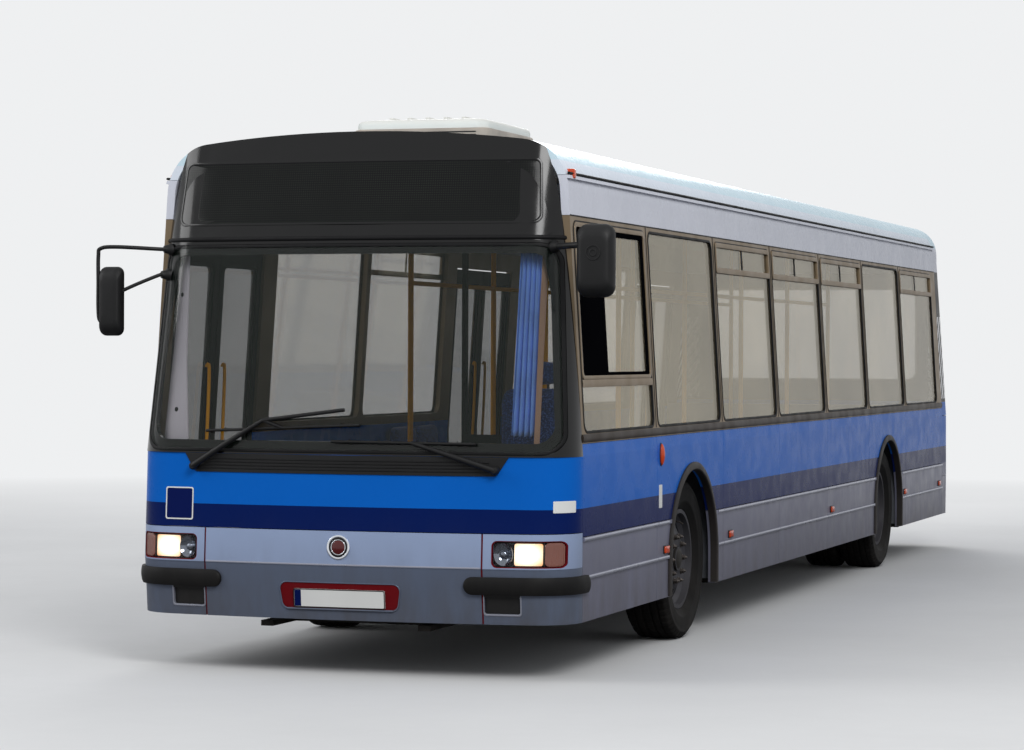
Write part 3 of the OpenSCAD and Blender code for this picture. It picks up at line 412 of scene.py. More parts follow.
class Finish:
    """Procedural material on Object coordinates, so that a finish runs on from piece to piece."""

    def __init__(self, name, metal=0.0, coat=0.0, alpha=1.0, ior=1.5, sheen=0.0, gloss=0.5):
        self.mat = bpy.data.materials.new(name)
        self.mat.use_nodes = True
        self.tree = self.mat.node_tree
        self.tree.nodes.clear()
        self.out = self.add("ShaderNodeOutputMaterial")
        self.shader = self.add("ShaderNodeBsdfPrincipled")
        self.join(self.shader.outputs[0], self.out.inputs[0])
        for key, value in (("Metallic", metal), ("Coat Weight", coat), ("Coat Roughness", 0.08),
                           ("Alpha", alpha), ("IOR", ior), ("Sheen Weight", sheen),
                           ("Specular IOR Level", gloss)):
            self.shader.inputs[key].default_value = value
        self.where = self.add("ShaderNodeTexCoord").outputs["Object"]
        split = self.add("ShaderNodeSeparateXYZ")
        self.join(self.where, split.inputs[0])
        self.x, self.y, self.z = split.outputs
        FINISHES[name] = self.mat

    def add(self, kind, **settings):
        """A new node with its settings."""
        node = self.tree.nodes.new(kind)
        for key, value in settings.items():
            setattr(node, key, value)
        return node

    def join(self, a, b):
        """Puts a value or another node's output on an input."""
        if hasattr(a, "node"):
            self.tree.links.new(a, b)
        else:
            b.default_value = a

    def sum(self, kind, a, b=0.0, c=0.0, clamp=False):
        """A calculation on up to three values."""
        node = self.add("ShaderNodeMath", operation=kind, use_clamp=clamp)
        for value, socket in zip((a, b, c), node.inputs):
            self.join(value, socket)
        return node.outputs[0]

    def noise(self, scale, detail=3.0, rough=0.5, stretch=None):
        """Noise in the object's own coordinates."""
        node = self.add("ShaderNodeTexNoise")
        node.inputs["Scale"].default_value = scale
        node.inputs["Detail"].default_value = detail
        node.inputs["Roughness"].default_value = rough
        if stretch:
            mapping = self.add("ShaderNodeMapping")
            mapping.inputs["Scale"].default_value = stretch
            self.join(self.where, mapping.inputs[0])
            self.join(mapping.outputs[0], node.inputs["Vector"])
        else:
            self.join(self.where, node.inputs["Vector"])
        return node.outputs["Fac"]

    def span(self, value, lo, hi, to_lo=0.0, to_hi=1.0):
        """A value carried from one range to another and held there."""
        node = self.add("ShaderNodeMapRange", clamp=True)
        for v, key in ((value, "Value"), (lo, "From Min"), (hi, "From Max"), (to_lo, "To Min"),
                       (to_hi, "To Max")):
            self.join(v, node.inputs[key])
        return node.outputs["Result"]

    def mix(self, share, a, b):
        """Two colours mixed by a share."""
        node = self.add("ShaderNodeMix", data_type="RGBA")
        self.join(share, node.inputs["Factor"])
        self.join(a, node.inputs[6])
        self.join(b, node.inputs[7])
        return node.outputs[2]

    def colour(self, value):
        """Sets the base colour."""
        self.join(value, self.shader.inputs["Base Color"])

    def rough(self, low, high, scale=7.0):
        """Sets the roughness, which wanders between two values."""
        self.join(self.span(self.noise(scale, 4), 0.3, 0.7, low, high),
                  self.shader.inputs["Roughness"])

    def bump(self, height, distance, strength=1.0):
        """Raises the surface by a height, as far as a distance."""
        node = self.add("ShaderNodeBump")
        node.inputs["Strength"].default_value = strength
        node.inputs["Distance"].default_value = distance
        self.join(height, node.inputs["Height"])
        self.join(node.outputs[0], self.shader.inputs["Normal"])

    def clouds(self, base, vary=0.12, scale=2.5, detail=4):
        """Base colour, a little darker and lighter in soft clouds."""
        base = np.array(base)
        lo = tuple(np.clip(base[:3] * (1 - vary), 0, 1)) + (1.0,)
        hi = tuple(np.clip(base[:3] * (1 + vary), 0, 1)) + (1.0,)
        return self.mix(self.span(self.noise(scale, detail), 0.3, 0.7), lo, hi)

    def low_dust_and_shade(self, colour, top=1.0, most=0.5, tone=(0.085, 0.075, 0.065)):
        """Darker to the bottom edge, thin at the height top, in streaks: dust, and painted shade
        where strong.
        """
        low = self.span(self.z, 0.15, top, 1.0, 0.0)
        streaks = self.span(self.noise(9, 5, 0.6, (1.0, 1.0, 0.25)), 0.3, 0.75, 0.25, 1.0)
        share = self.sum("MULTIPLY", self.sum("MULTIPLY", low, streaks), most)
        return self.mix(share, colour, (*tone, 1.0))


def painted(name, colour, rough=(0.22, 0.34), metal=0.0, coat=0.0, vary=0.03, dust_and_shade=0.2, top=0.9,
            bands=(), gloss=0.03):
    """Sprayed paint: soft clouds, a slight orange peel and darkening low down, which is road dust
    and, where strong, painted shade. Bands change the colour above a height."""
    f = Finish(name, metal=metal, coat=coat, gloss=gloss)
    c = f.clouds(linear(colour), vary)
    for z, other in bands:
        c = f.mix(f.sum("GREATER_THAN", f.z, z), c, f.clouds(linear(other), vary))
    f.colour(f.low_dust_and_shade(c, top, dust_and_shade))
    f.rough(*rough)
    f.bump(f.noise(160, 2), 0.0003, 0.06)
    return f


def moulded(name, colour, rough=(0.45, 0.6), grain=420, depth=0.0006, strength=0.35, dust_and_shade=0.15,
            top=1.0, metal=0.0, vary=0.18, coat=0.0, gloss=0.3):
    """Moulded plastic, rubber or cast metal: a fine grain, uneven wear and darker towards the
    bottom.
    """
    f = Finish(name, metal=metal, coat=coat, gloss=gloss)
    f.colour(f.low_dust_and_shade(f.clouds(linear(colour), vary, 5), top, dust_and_shade))
    f.rough(*rough)
    f.bump(f.noise(grain, 3, 0.6), depth, strength)
    return f


def clear(name, tint, alpha, rough=0.05, metal=0.0, gloss=0.5, ribs=0.0):
    """Glass or lens: a tint laid on a see-through sheet, a little deeper here and there, and a
    lens may have upright ribs."""
    f = Finish(name, alpha=alpha, metal=metal, gloss=gloss)
    f.colour(f.clouds(linear(tint), 0.15, 1.2))
    f.shader.inputs["Roughness"].default_value = rough
    if ribs:
        f.bump(f.sum("SINE", f.sum("MULTIPLY", f.x, 900.0)), 0.001, ribs)
    return f


class BusSettings(bpy.types.PropertyGroup):
    """Sizes and colours that a user would change."""

    blue: FloatVectorProperty(name="Blue", description="Colour of the panels above the stripe",
                              subtype="COLOR", size=3, min=0, max=1, default=(0.045, 0.37, 0.73))
    navy: FloatVectorProperty(name="Navy", description="Colour of the stripe over the skirts",
                              subtype="COLOR", size=3, min=0, max=1, default=(0.032, 0.11, 0.33))
    silver: FloatVectorProperty(name="Silver", description="Colour of skirts and rear bumper",
                                subtype="COLOR", size=3, min=0, max=1, default=(0.46, 0.465, 0.54))
    bumper: FloatVectorProperty(name="Bumper", description="Colour of the front bumper",
                                subtype="COLOR", size=3, min=0, max=1, default=(0.57, 0.63, 0.75))
    cove: FloatVectorProperty(name="Cove", description="Colour of the band over the windows",
                              subtype="COLOR", size=3, min=0, max=1, default=(0.81, 0.82, 0.86))
    roof: FloatVectorProperty(name="Roof", description="Colour of the roof",
                              subtype="COLOR", size=3, min=0, max=1, default=(0.80, 0.89, 0.93))
    bronze: FloatVectorProperty(name="Window frames", description="Colour of the window frames",
                                subtype="COLOR", size=3, min=0, max=1, default=(0.49, 0.43, 0.35))
    gap_red: FloatVectorProperty(name="Gap red",
                                 description="Colour of the bumper's gaps and the plate's recess",
                                 subtype="COLOR", size=3, min=0, max=1, default=(0.40, 0.05, 0.08))
    rail: FloatVectorProperty(name="Handrails", description="Colour of the handrails",
                              subtype="COLOR", size=3, min=0, max=1, default=(0.95, 0.66, 0.10))
    seat: FloatVectorProperty(name="Seat cloth", description="Colour of the seats' cloth",
                              subtype="COLOR", size=3, min=0, max=1, default=(0.16, 0.25, 0.48))
    stripe_top: FloatProperty(name="Stripe top", description="Height where the navy stripe ends",
                              default=0.905, min=0.8, max=1.1, unit="LENGTH")
    plate_width: FloatProperty(name="Plate width", description="Width of the number plates",
                               default=0.52, min=0.3, max=0.6, unit="LENGTH")
    tread_depth: FloatProperty(name="Tread depth", description="Depth of the tyres' grooves",
                               default=0.012, min=0.004, max=0.02, unit="LENGTH")
    tread_pitch: IntProperty(name="Tread blocks", description="Blocks round a tyre's shoulder",
                             default=60, min=24, max=96)
    lamp_glow: FloatProperty(name="Lamp glow", description="Strength of the lit headlamps",
                             default=1.8, min=0, max=20)
    light: FloatProperty(name="Studio light", description="Power of the key lamp",
                         default=1500, min=0, max=20000, unit="POWER")


def settings():
    """The sizes and colours of this scene's bus."""
    return bpy.context.scene.bus


class BUS_OT_finishes(bpy.types.Operator):
    """Mixes every finish and gives each CAD node the one of its slot"""

    bl_idname = "bus.finishes"
    bl_label = "Finishes"

    def execute(self, context):
        s = settings()
        painted("frame_paint", (0.10, 0.10, 0.10), (0.5, 0.7), dust_and_shade=0.5)
        moulded("floor_vinyl", (0.33, 0.34, 0.36), (0.5, 0.65), dust_and_shade=0)
        painted("body_blue", s.navy, bands=((s.stripe_top, s.blue),))
        tail = painted("tail_paint", s.silver, bands=(
            (BELT_Z, s.navy), (s.stripe_top, s.blue), (1.30, (0.05, 0.05, 0.06)),
            (CANTRAIL_Z, s.cove), (GUTTER_Z, s.roof)))
        self.hazard(tail)
        # Skirts: their strong darkening towards the bottom is painted shade, with a little road
        # dust.
        painted("panel_silver", s.silver, (0.28, 0.40), metal=0.3, dust_and_shade=0.85, top=0.78, gloss=0.1)
        # Front bumper: below 0.594 a darker copy of its silver, and a strong darkening towards the
        # bottom, both painted shade where it turns under.
        shaded_bumper = tuple(0.68 * c for c in s.bumper)
        painted("bumper_silver", shaded_bumper, (0.28, 0.40), metal=0.3, dust_and_shade=0.9, top=0.75, gloss=0.1,
                bands=((0.594, s.bumper),))
        painted("cove_white", s.cove, dust_and_shade=0)
        painted("roof_pale_blue", (0.86, 0.89, 0.93), dust_and_shade=0, bands=((2.755, s.roof),))
        painted("window_frame", s.bronze, (0.32, 0.45), metal=0.5, dust_and_shade=0.05)
        clear("window_glass", (0.66, 0.62, 0.52), 0.42, metal=0.8)
        clear("door_glass", (0.20, 0.20, 0.17), 0.55, metal=0.3)
        painted("dark_bronze", (0.20, 0.17, 0.15), (0.35, 0.5), metal=0.4, dust_and_shade=0.05)
        moulded("arch_rubber", (0.13, 0.115, 0.11), (0.5, 0.65), grain=260)
        clear("screen_glass", (0.12, 0.15, 0.13), 0.22)
        painted("black_gloss", (0.03, 0.03, 0.034), (0.12, 0.2), coat=0.1, dust_and_shade=0, gloss=0.3)
        # Matte black for the driver's open window: painted shade where the cabin would be seen.
        painted("open_window", (0.03, 0.03, 0.04), (0.8, 0.95), dust_and_shade=0, gloss=0.0)
        moulded("black_plastic", (0.05, 0.05, 0.055))
        moulded("black_rubber", (0.035, 0.035, 0.042), (0.5, 0.7), grain=260, gloss=0.2)
        moulded("tyre", (0.030, 0.029, 0.033), (0.7, 0.85), grain=200, dust_and_shade=0.2, top=0.8,
                gloss=0.15)
        clear("lamp_clear", (0.30, 0.31, 0.33), 0.07, 0.04)
        clear("lamp_red", (0.62, 0.03, 0.03), 0.93, 0.08, ribs=0.4)
        clear("lamp_amber", (0.80, 0.25, 0.03), 0.93, 0.08, ribs=0.2)
        clear("indicator_lens", (0.56, 0.36, 0.31), 0.80, 0.08, ribs=1.0)
        painted("unit_white", (0.84, 0.84, 0.82), (0.35, 0.5), dust_and_shade=0)
        moulded("unit_base", (0.62, 0.58, 0.54), (0.5, 0.6), dust_and_shade=0)
        moulded("engine_cast", (0.26, 0.26, 0.25), (0.5, 0.7), grain=120, metal=0.5, dust_and_shade=0.6,
                top=1.4)
        moulded("axle_cast", (0.11, 0.105, 0.10), (0.55, 0.75), grain=120, metal=0.3, dust_and_shade=0.5)
        painted("rim_grey", (0.27, 0.27, 0.29), (0.4, 0.55), metal=0.3, dust_and_shade=0.35, top=1.0)
        moulded("dash_plastic", (0.08, 0.08, 0.085), (0.55, 0.7), dust_and_shade=0)
        painted("rail_yellow", s.rail, (0.3, 0.4), dust_and_shade=0)
        painted("door_grey", (0.07, 0.07, 0.075), (0.3, 0.4), dust_and_shade=0.1)
        painted("gap_red", s.gap_red, (0.35, 0.5), dust_and_shade=0.1)
        painted("badge_red", (0.30, 0.03, 0.04), (0.12, 0.2), dust_and_shade=0, coat=0.4, gloss=0.3)
        painted("bright_strip", (0.62, 0.63, 0.68), (0.25, 0.35), metal=0.6, dust_and_shade=0.15)
        painted("chrome", (0.85, 0.86, 0.88), (0.05, 0.12), metal=1.0, dust_and_shade=0, gloss=0.5)
        painted("lamp_mirror", (0.50, 0.52, 0.56), (0.04, 0.08), metal=1.0, dust_and_shade=0, gloss=0.5)
        painted("plate_white", (0.86, 0.86, 0.85), (0.35, 0.45), dust_and_shade=0.08)
        painted("sign_navy", (0.04, 0.09, 0.30), (0.3, 0.4), dust_and_shade=0)
        painted("lining_grey", (0.86, 0.84, 0.87), (0.5, 0.6), dust_and_shade=0)
        painted("lining_tan", (0.66, 0.54, 0.46), (0.5, 0.6), dust_and_shade=0)
        moulded("steel_stud", (0.30, 0.28, 0.27), (0.4, 0.6), metal=0.8, dust_and_shade=0.3)
        self.cloth("seat_cloth", s.seat)
        self.cloth("curtain_cloth", (0.46, 0.64, 0.93), 0.08)
        self.display()
        self.glow(s.lamp_glow)
        slots = {p["node"]: p["material_slot"] for p in frame["record"]["subparts"]}
        for node, obj in frame["nodes"].items():
            name = {"rear_panel": "tail_paint", "engine_hatch": "tail_paint",
                    "bumper_centre": "bumper_silver",
                    "bumper_corners": "bumper_silver"}.get(node, slots[node])
            obj.data.materials.clear()
            obj.data.materials.append(FINISHES[name])
        return {"FINISHED"}

    def hazard(self, f):
        """Diagonal black and white bars on the tail's corners: the height plus the distance round
        the corner, cut into equal steps, inside a box of heights and half-widths."""
        across = f.sum("SUBTRACT", f.sum("ABSOLUTE", f.x), f.y)
        turns = f.sum("FRACT", f.sum("MULTIPLY", f.sum("ADD", f.z, across), 9.0))
        bars = f.mix(f.sum("GREATER_THAN", turns, 0.5), (0.02, 0.02, 0.025, 1), (0.8, 0.8, 0.8, 1))
        inside = f.sum("MULTIPLY", f.sum("GREATER_THAN", f.sum("ABSOLUTE", f.x), 1.07),
                       f.sum("MULTIPLY", f.sum("GREATER_THAN", f.z, 1.33),
                             f.sum("LESS_THAN", f.z, 2.06)))
        before = f.shader.inputs["Base Color"].links[0].from_socket
        f.colour(f.mix(inside, before, bars))

    def cloth(self, name, colour, flecks=1.0):
        """Woven cloth: a wave for the threads, small flecks and a soft sheen."""
        f = Finish(name, sheen=0.4)
        fleck = f.span(f.noise(130, 2), 0.52, 0.6, 0.0, flecks)
        base = f.clouds(linear(colour), 0.15, 8)
        f.colour(f.mix(fleck, base, linear(np.clip(np.array(colour) * 1.7 + 0.05, 0, 1))))
        f.rough(0.8, 0.95)
        wave = f.add("ShaderNodeTexWave", wave_type="BANDS")
        wave.inputs["Scale"].default_value = 150
        f.join(f.where, wave.inputs["Vector"])
        f.bump(f.sum("ADD", wave.outputs["Fac"], f.noise(400, 2)), 0.0008, 0.4)

    def display(self):
        """Unlit matrix of round dots: the distance from each cell's middle, cut at a radius."""
        f = Finish("display_matrix", gloss=0.12)
        cell = [f.sum("SUBTRACT", f.sum("FRACT", f.sum("MULTIPLY", v, 80.0)), 0.5)
                for v in (f.x, f.z)]
        d2 = f.sum("ADD", *(f.sum("MULTIPLY", v, v) for v in cell))
        dot = f.span(d2, 0.07, 0.12, 1.0, 0.0)
        f.colour(f.mix(dot, (0.006, 0.006, 0.007, 1), f.clouds((0.014, 0.017, 0.013, 1), 0.2, 3)))
        f.rough(0.14, 0.22)
        f.bump(dot, 0.0003, 0.15)

    def glow(self, strength):
        """Lit lamp: white round the bulb and amber towards its edges, where the distance from the
        bulb is measured in half-widths and half-heights, with upright ribs."""
        f = Finish("lamp_lit")
        across = f.sum("DIVIDE", f.sum("SUBTRACT", f.sum("ABSOLUTE", f.x), 1.020), 0.088)
        up = f.sum("DIVIDE", f.sum("SUBTRACT", f.z, 0.671), 0.066)
        away = f.sum("SQRT", f.sum("ADD", f.sum("MULTIPLY", across, across),
                                   f.sum("MULTIPLY", up, up)))
        light = f.mix(f.span(away, 0.35, 1.25), (1.0, 0.93, 0.74, 1.0), (0.50, 0.24, 0.09, 1.0))
        f.colour(light)
        f.join(light, f.shader.inputs["Emission Color"])
        f.shader.inputs["Emission Strength"].default_value = strength
        f.rough(0.1, 0.2)
        f.bump(f.sum("SINE", f.sum("MULTIPLY", f.x, 700.0)), 0.001, 0.5)


class BUS_OT_tyres(bpy.types.Operator):
    """Cuts the tread and shapes the walls of the six tyres"""

    bl_idname = "bus.tyres"
    bl_label = "Tyres"

    def tyre(self, origin, side):
        """Tyre: a closed profile of radius and width turned round the axle. In the tread the radius
        dips in four grooves, and the shoulder's blocks are cut by a square wave round the tyre."""
        s = settings()
        wall = np.array([(0.287, -0.086), (0.303, -0.093), (0.306, -0.104), (0.322, -0.113),
                         (0.345, -0.128), (0.352, -0.1325), (0.358, -0.1320), (0.385, -0.1365),
                         (0.41, -0.1375), (0.43, -0.1365), (0.436, -0.139), (0.444, -0.1385),
                         (0.452, -0.132), (0.462, -0.127), (0.470, -0.121), (0.4775, -0.113)])
        w = np.linspace(-0.105, 0.105, 43)
        crown = TYRE_R - 0.004 * (w / 0.105) ** 2
        groove = np.zeros_like(w)
        for g in (-0.072, -0.026, 0.026, 0.072):
            groove = np.maximum(groove, np.clip(1.6 - np.abs(w - g) / 0.0045, 0, 1))
        tread = np.stack([crown - s.tread_depth * groove, w], -1)
        profile = np.concatenate([wall, tread, wall[::-1] * (1, -1)])
        steps = s.tread_pitch * 6
        ang = np.linspace(0, 2 * np.pi, steps, endpoint=False)
        across = np.abs(profile[:, 1])
        lug = ((np.arange(steps) % 6) < 1) * ((across > 0.078)[:, None] * (profile[:, :1] > 0.458))
        zig = ((np.arange(steps) % 6) == 3) * ((across < 0.020)[:, None] * (profile[:, :1] > 0.46))
        r = profile[:, :1] - s.tread_depth * 0.8 * lug - s.tread_depth * 0.35 * zig
        p = np.stack([np.broadcast_to(profile[:, 1:] * side, r.shape), r * np.sin(ang),
                      r * np.cos(ang)], -1)
        return grid(p + np.array(origin), wrap_u=True, wrap_v=True)

    def execute(self, context):
        for axle, node, twin in ((0, "front", 0), (1, "rear", 1)):
            for side, word in ((1, "left"), (-1, "right")):
                shapes = [self.tyre((side * (TRACK - k * TWIN), AXLES[axle], TYRE_R), side)
                          for k in range(1 + twin)]
                piece(f"tyre_{node}_{word}_tread", f"wheel_{node}_{word}", shapes, "tyre",
                      [f"tyres_rear_{word}" if twin else f"tyre_front_{word}"], sharp=40)
        return {"FINISHED"}


class BUS_OT_wheel_trim(bpy.types.Operator):
    """Puts studs, nuts and a cap on each hub, and a valve on each rim"""

    bl_idname = "bus.wheel_trim"
    bl_label = "Wheel trim"

    def execute(self, context):
        nut = [(0, 0.034), (0.007, 0.034), (0.008, 0.030), (0.0105, 0.022), (0.0155, 0.020),
               (0.0165, 0.006), (0.021, 0.004), (0.021, 0.0), (0, 0.0)]
        for word, side in (("left", 1), ("right", -1)):
            for which, axle, face in (("front", AXLES[0], 0.0815), ("rear", AXLES[1], -0.1405)):
                x = side * (TRACK + face)
                hub = (side, 0, 0)
                shapes = []
                for k in range(10):
                    a = k * 36 * DEG + 18 * DEG
                    o = (x, axle + 0.139 * math.sin(a), TYRE_R + 0.139 * math.cos(a))
                    shapes.append(spin(nut, o, hub, 6))
                piece(f"studs_{which}_{word}", f"wheel_{which}_{word}", shapes, "steel_stud",
                      sharp=25)
                base = 0.098 if which == "front" else -0.01
                cap = [(0.0, base + 0.012), (0.03, base + 0.011), (0.05, base + 0.007),
                       (0.062, base + 0.0), (0.072, base - 0.001), (0.074, base - 0.010),
                       (0.071, base - 0.022), (0.0, base - 0.022)]
                piece(f"hub_cap_{which}_{word}", f"wheel_{which}_{word}",
                      [spin(cap, (side * TRACK, axle, TYRE_R), hub, 32)],
                      "axle_cast")
                a = 0.45
                o = np.array((side * TRACK, axle, TYRE_R))
                out = (0.05, 0.075, 0.098)
                if which == "rear":
                    out = np.array((-0.02, 0.02, 0.06)) + face
                q = np.array([(side * d, r * math.sin(a), r * math.cos(a))
                              for d, r in zip(out, (0.245, 0.240, 0.228))])
                piece(f"valve_{which}_{word}", f"wheel_{which}_{word}",
                      [tube(smooth_path(o + q, 6), 0.0045, 8)], "steel_stud")
        return {"FINISHED"}


class BUS_OT_front_trim(bpy.types.Operator):
    """Puts plate, badge, gap strips, signs, cowl, fog panels and rubbers on the nose"""

    bl_idname = "bus.front_trim"
    bl_label = "Front trim"

    def execute(self, context):
        for part in (self.plate, self.badge, self.gaps, self.cowl, self.signs, self.fog_places,
                     self.rubbers):
            part()
        return {"FINISHED"}

    def plate(self):
        """Plate on a red panel between lips, all on the chin's rake."""
        flat = on_plane(on_nose(0.0, 0.366, 0.0), (1, 0, 0), (0, math.tan(CHIN_RAKE * DEG), 1))
        recess = upright(0.361, 0.324, 0.497, 0.345, 0.036, 8, 24)
        piece("plate_recess", "body", [tile(on_nose, recess, -0.012, 0.0006, 0.0003, fill=9)],
              "gap_red")
        piece("plate_recess_rim", "body",
              [ring(on_nose, upright(0.352, 0.331, 0.503, 0.352, 0.042, 8, 24), recess,
                    -0.003, 0.0045, 0.003),
               strip(on_nose, level(-0.302, 0.302, 24, 0.3515), level(-0.302, 0.302, 24, 0.3625),
                     bead(0.0095))],
              "bumper_silver")
        half = settings().plate_width / 2
        piece("number_plate_front", "body",
              [tile(flat, rect(-half, 0.0, half, 0.100, 0.008), 0.001, 0.0055)],
              "plate_white")
        piece("number_plate_border", "body",
              [ring(flat, rect(-half, 0.0, half, 0.100, 0.008),
                    rect(-half + 0.005, 0.005, half - 0.005, 0.095, 0.006),
                    0.0054, 0.0064, 0.0003)],
              "black_plastic")
        piece("number_plate_end", "body",
              [tile(flat, rect(-half + 0.006, 0.006, -half + 0.043, 0.094, 0.003),
                    0.0054, 0.0059, 0.0002)],
              "sign_navy")

    def badge(self):
        """Round badge left blank: two rings about a shallow dome."""
        flat = on_plane(on_nose(0.0, 0.69, 0.0), (1, 0, 0), (0, math.tan(3 * DEG), 1))
        circle = outline(dotted(0.066), 0.03, 2, 2)
        piece("badge_blank", "body", [tile(flat, circle * 0.80, 0.0, 0.002, 0.001)],
              "black_gloss")
        piece("badge_dome", "body", [tile(flat, circle * 0.56, 0.002, 0.005, 0.002, crown=0.006)],
              "badge_red")
        piece("badge_ring", "body",
              [ring(flat, circle, circle * 0.80, -0.001, 0.006, 0.003),
               ring(flat, circle * 0.64, circle * 0.57, 0.001, 0.006, 0.002)],
              "chrome")

    def gaps(self):
        """Red strips in the bumper's gaps and round the headlamps."""
        gaps = [strip(on_nose, level_z(0.7865, 0.302, 0.588, 12), level_z(0.7935, 0.302, 0.588, 12),
                      ((0, -0.03), (0, -0.004), (1, -0.004), (1, -0.03))),
                strip(on_nose, level_z(0.7865, 0.592, 0.774, 8), level_z(0.7935, 0.592, 0.774, 8),
                      ((0, -0.03), (0, -0.004), (1, -0.004), (1, -0.03)))]
        lining = [ring(on_nose, rect(0.8395, 0.5995, 1.2165, 0.7425, 0.030, 8, 18),
                       rect(0.8445, 0.6045, 1.2115, 0.7375, 0.028, 8, 18), -0.03, -0.002)]
        piece("gap_strips", "body", both(gaps + lining), "gap_red")

    def cowl(self):
        """Ribbed cowl under the screen."""
        cowl = upright(1.078, 0.86, 1.1785, 0.925, (0.03, 0.03, 0.002, 0.002))
        piece("cowl", "body", [tile(on_nose, cowl, 0.0, 0.005, 0.002, fill=7)],
              "black_plastic")
        ribs = [strip(on_nose, level(-0.82, 0.82, 30, z), level(-0.82, 0.82, 30, z + 0.007),
                      bead(0.009, -0.003))
                for z in (1.095, 1.112, 1.129, 1.146)]
        piece("cowl_ribs", "body", ribs, "black_plastic")

    def signs(self):
        """Square sign and labels, all left blank."""
        sign = rect(-1.040, 0.816, -0.868, 0.992, 0.012)
        piece("sign_face", "body", [tile(on_nose, sign, 0.0, 0.001, 0.0004)],
              "sign_navy")
        piece("sign_border", "body",
              [ring(on_nose, sign, rect(-1.033, 0.823, -0.875, 0.985, 0.009),
                    0.0008, 0.0017, 0.0003)],
              "plate_white")
        piece("label_blanks", "body",
              [tile(on_nose, rect(1.152, 0.888, 1.238, 0.950, 0.003), 0.0, 0.0008, 0.0003),
               tile(LEFT, rect(-4.10, 0.83, -4.03, 0.965, 0.006), 0.0, 0.0008, 0.0003)],
              "plate_white")

    def fog_places(self):
        """Black panels where fog lamps would be, their lips, and the bumper's crease."""
        fog = [tile(on_nose, rect(0.8003, 0.3553, 0.9897, 0.4497, 0.012), -0.021, -0.012, 0.003)]
        fog.append(tile(on_nose, rect(0.7985, 0.4455, 0.9915, 0.466, 0.002), 0.0, 0.0042, 0.001))
        piece("fog_panels", "body", both(fog), "black_plastic")
        lip = [ring(on_nose, rect(0.794, 0.345, 0.998, 0.458, 0.016),
                    rect(0.8003, 0.3553, 0.9897, 0.4497, 0.012),
                    -0.02, 0.003, 0.002)]
        piece("fog_lips", "body", both(lip), "bright_strip")
        crease = [strip(on_nose, level(-0.782, 0.782, 30, 0.592), level(-0.782, 0.782, 30, 0.601),
                        bead(0.0012))]
        piece("bumper_crease", "body", crease, "bright_strip")

    def rubbers(self):
        """Bumper rubbers: a half-round section carried along the nose's plan and round its corner,
        its height and depth following a quarter circle at both ends."""
        t = np.linspace(0, np.pi / 2, 9)
        s0, s1, z, h = 0.692, 1.51, 0.504, 0.047
        u = np.r_[s0 + h * (1 - np.cos(t)), np.linspace(s0 + h, s1 - h, 42)[1:-1],
                  s1 - h * (1 - np.cos(t[::-1]))]
        k = np.r_[np.sin(t), np.ones(40), np.sin(t[::-1])][:, None]
        share, off = np.array(HALF_ROUND).T
        off = np.where(off < 0, -0.001, 0.010 + 0.016 * off * k ** 0.5)
        pts = along_nose(u[:, None], z + h * k * (2 * share - 1), off)
        ends = pts.mean(1, keepdims=True).repeat(pts.shape[1], 1)
        bar = grid(np.concatenate([ends[:1], pts, ends[-1:]]), wrap_v=True)
        piece("rubber_mouldings", "body", both([bar]), "black_rubber",
              ["bumper_rubbers"], sharp=50)


class BUS_OT_headlamps(bpy.types.Operator):
    """Builds the headlamp units: lens, reflectors, lit bulbs and amber ends"""

    bl_idname = "bus.headlamps"
    bl_label = "Headlamps"

    def bowl(self, x, z, r, depth, stretch):
        """Reflector: a paraboloid, its depth growing with the square of the distance from the rim
        to the middle, with a rim turned outwards."""
        o = on_nose(x, z, -0.010)
        axis = outward(on_nose, x, z)
        t = np.linspace(0, 1, 9)
        inner = np.stack([r * t, depth * (t ** 2 - 1)], -1)
        outer = np.stack([r * t[::-1] + 0.002, depth * (t[::-1] ** 2 - 1) - 0.003], -1)
        outer[-1, 0] = 0
        return spin(np.concatenate([inner, outer]), o, axis, 40, stretch=stretch)

    def execute(self, context):
        lens = [tile(on_nose, rect(0.849, 0.609, 1.118, 0.733, 0.024, 8, 18),
                     -0.009, -0.0045, 0.001)]
        piece("headlamp_lenses", "body", both(lens), "lamp_clear", ["headlamps"])
        amber = [tile(on_nose, rect(1.121, 0.609, 1.207, 0.733, 0.022, 8, 18),
                      -0.02, -0.0045, 0.001)]
        piece("indicator_lenses", "body", both(amber), "indicator_lens")
        back = [tile(on_nose, rect(0.842, 0.602, 1.214, 0.740, 0.028, 8, 18),
                     -0.0445, -0.042, 0.0005)]
        bar = strip(on_nose, level_z(1.117, 0.609, 0.733, 4), level_z(1.121, 0.609, 0.733, 4),
                    ((0, -0.044), (0, -0.010), (1, -0.010), (1, -0.044)))
        piece("headlamp_housings", "body", both([*back, bar]), "black_plastic")
        x, z = 0.902, 0.671
        bowls = [self.bowl(x, z, 0.0505, 0.028, (1, 1.16))]
        piece("headlamp_bowls", "body", both(bowls), "lamp_mirror", sharp=60)
        lit = [tile(on_nose, rect(0.960, 0.613, 1.113, 0.729, 0.010, 4, 10),
                    -0.030, -0.016, 0.003, crown=0.004)]
        piece("headlamp_reflectors", "body", both(lit), "lamp_lit", sharp=60)
        o, n = on_nose(x, z, -0.034), outward(on_nose, x, z)
        t = np.linspace(0, np.pi / 2, 7)
        dome = np.stack([0.022 * np.cos(t), 0.016 * np.sin(t)], -1)
        bulb = spin(np.concatenate([[(0, 0)], dome]), o, n, 28)
        piece("headlamp_bulbs", "body", both([bulb]), "lamp_mirror", sharp=60)
        return {"FINISHED"}


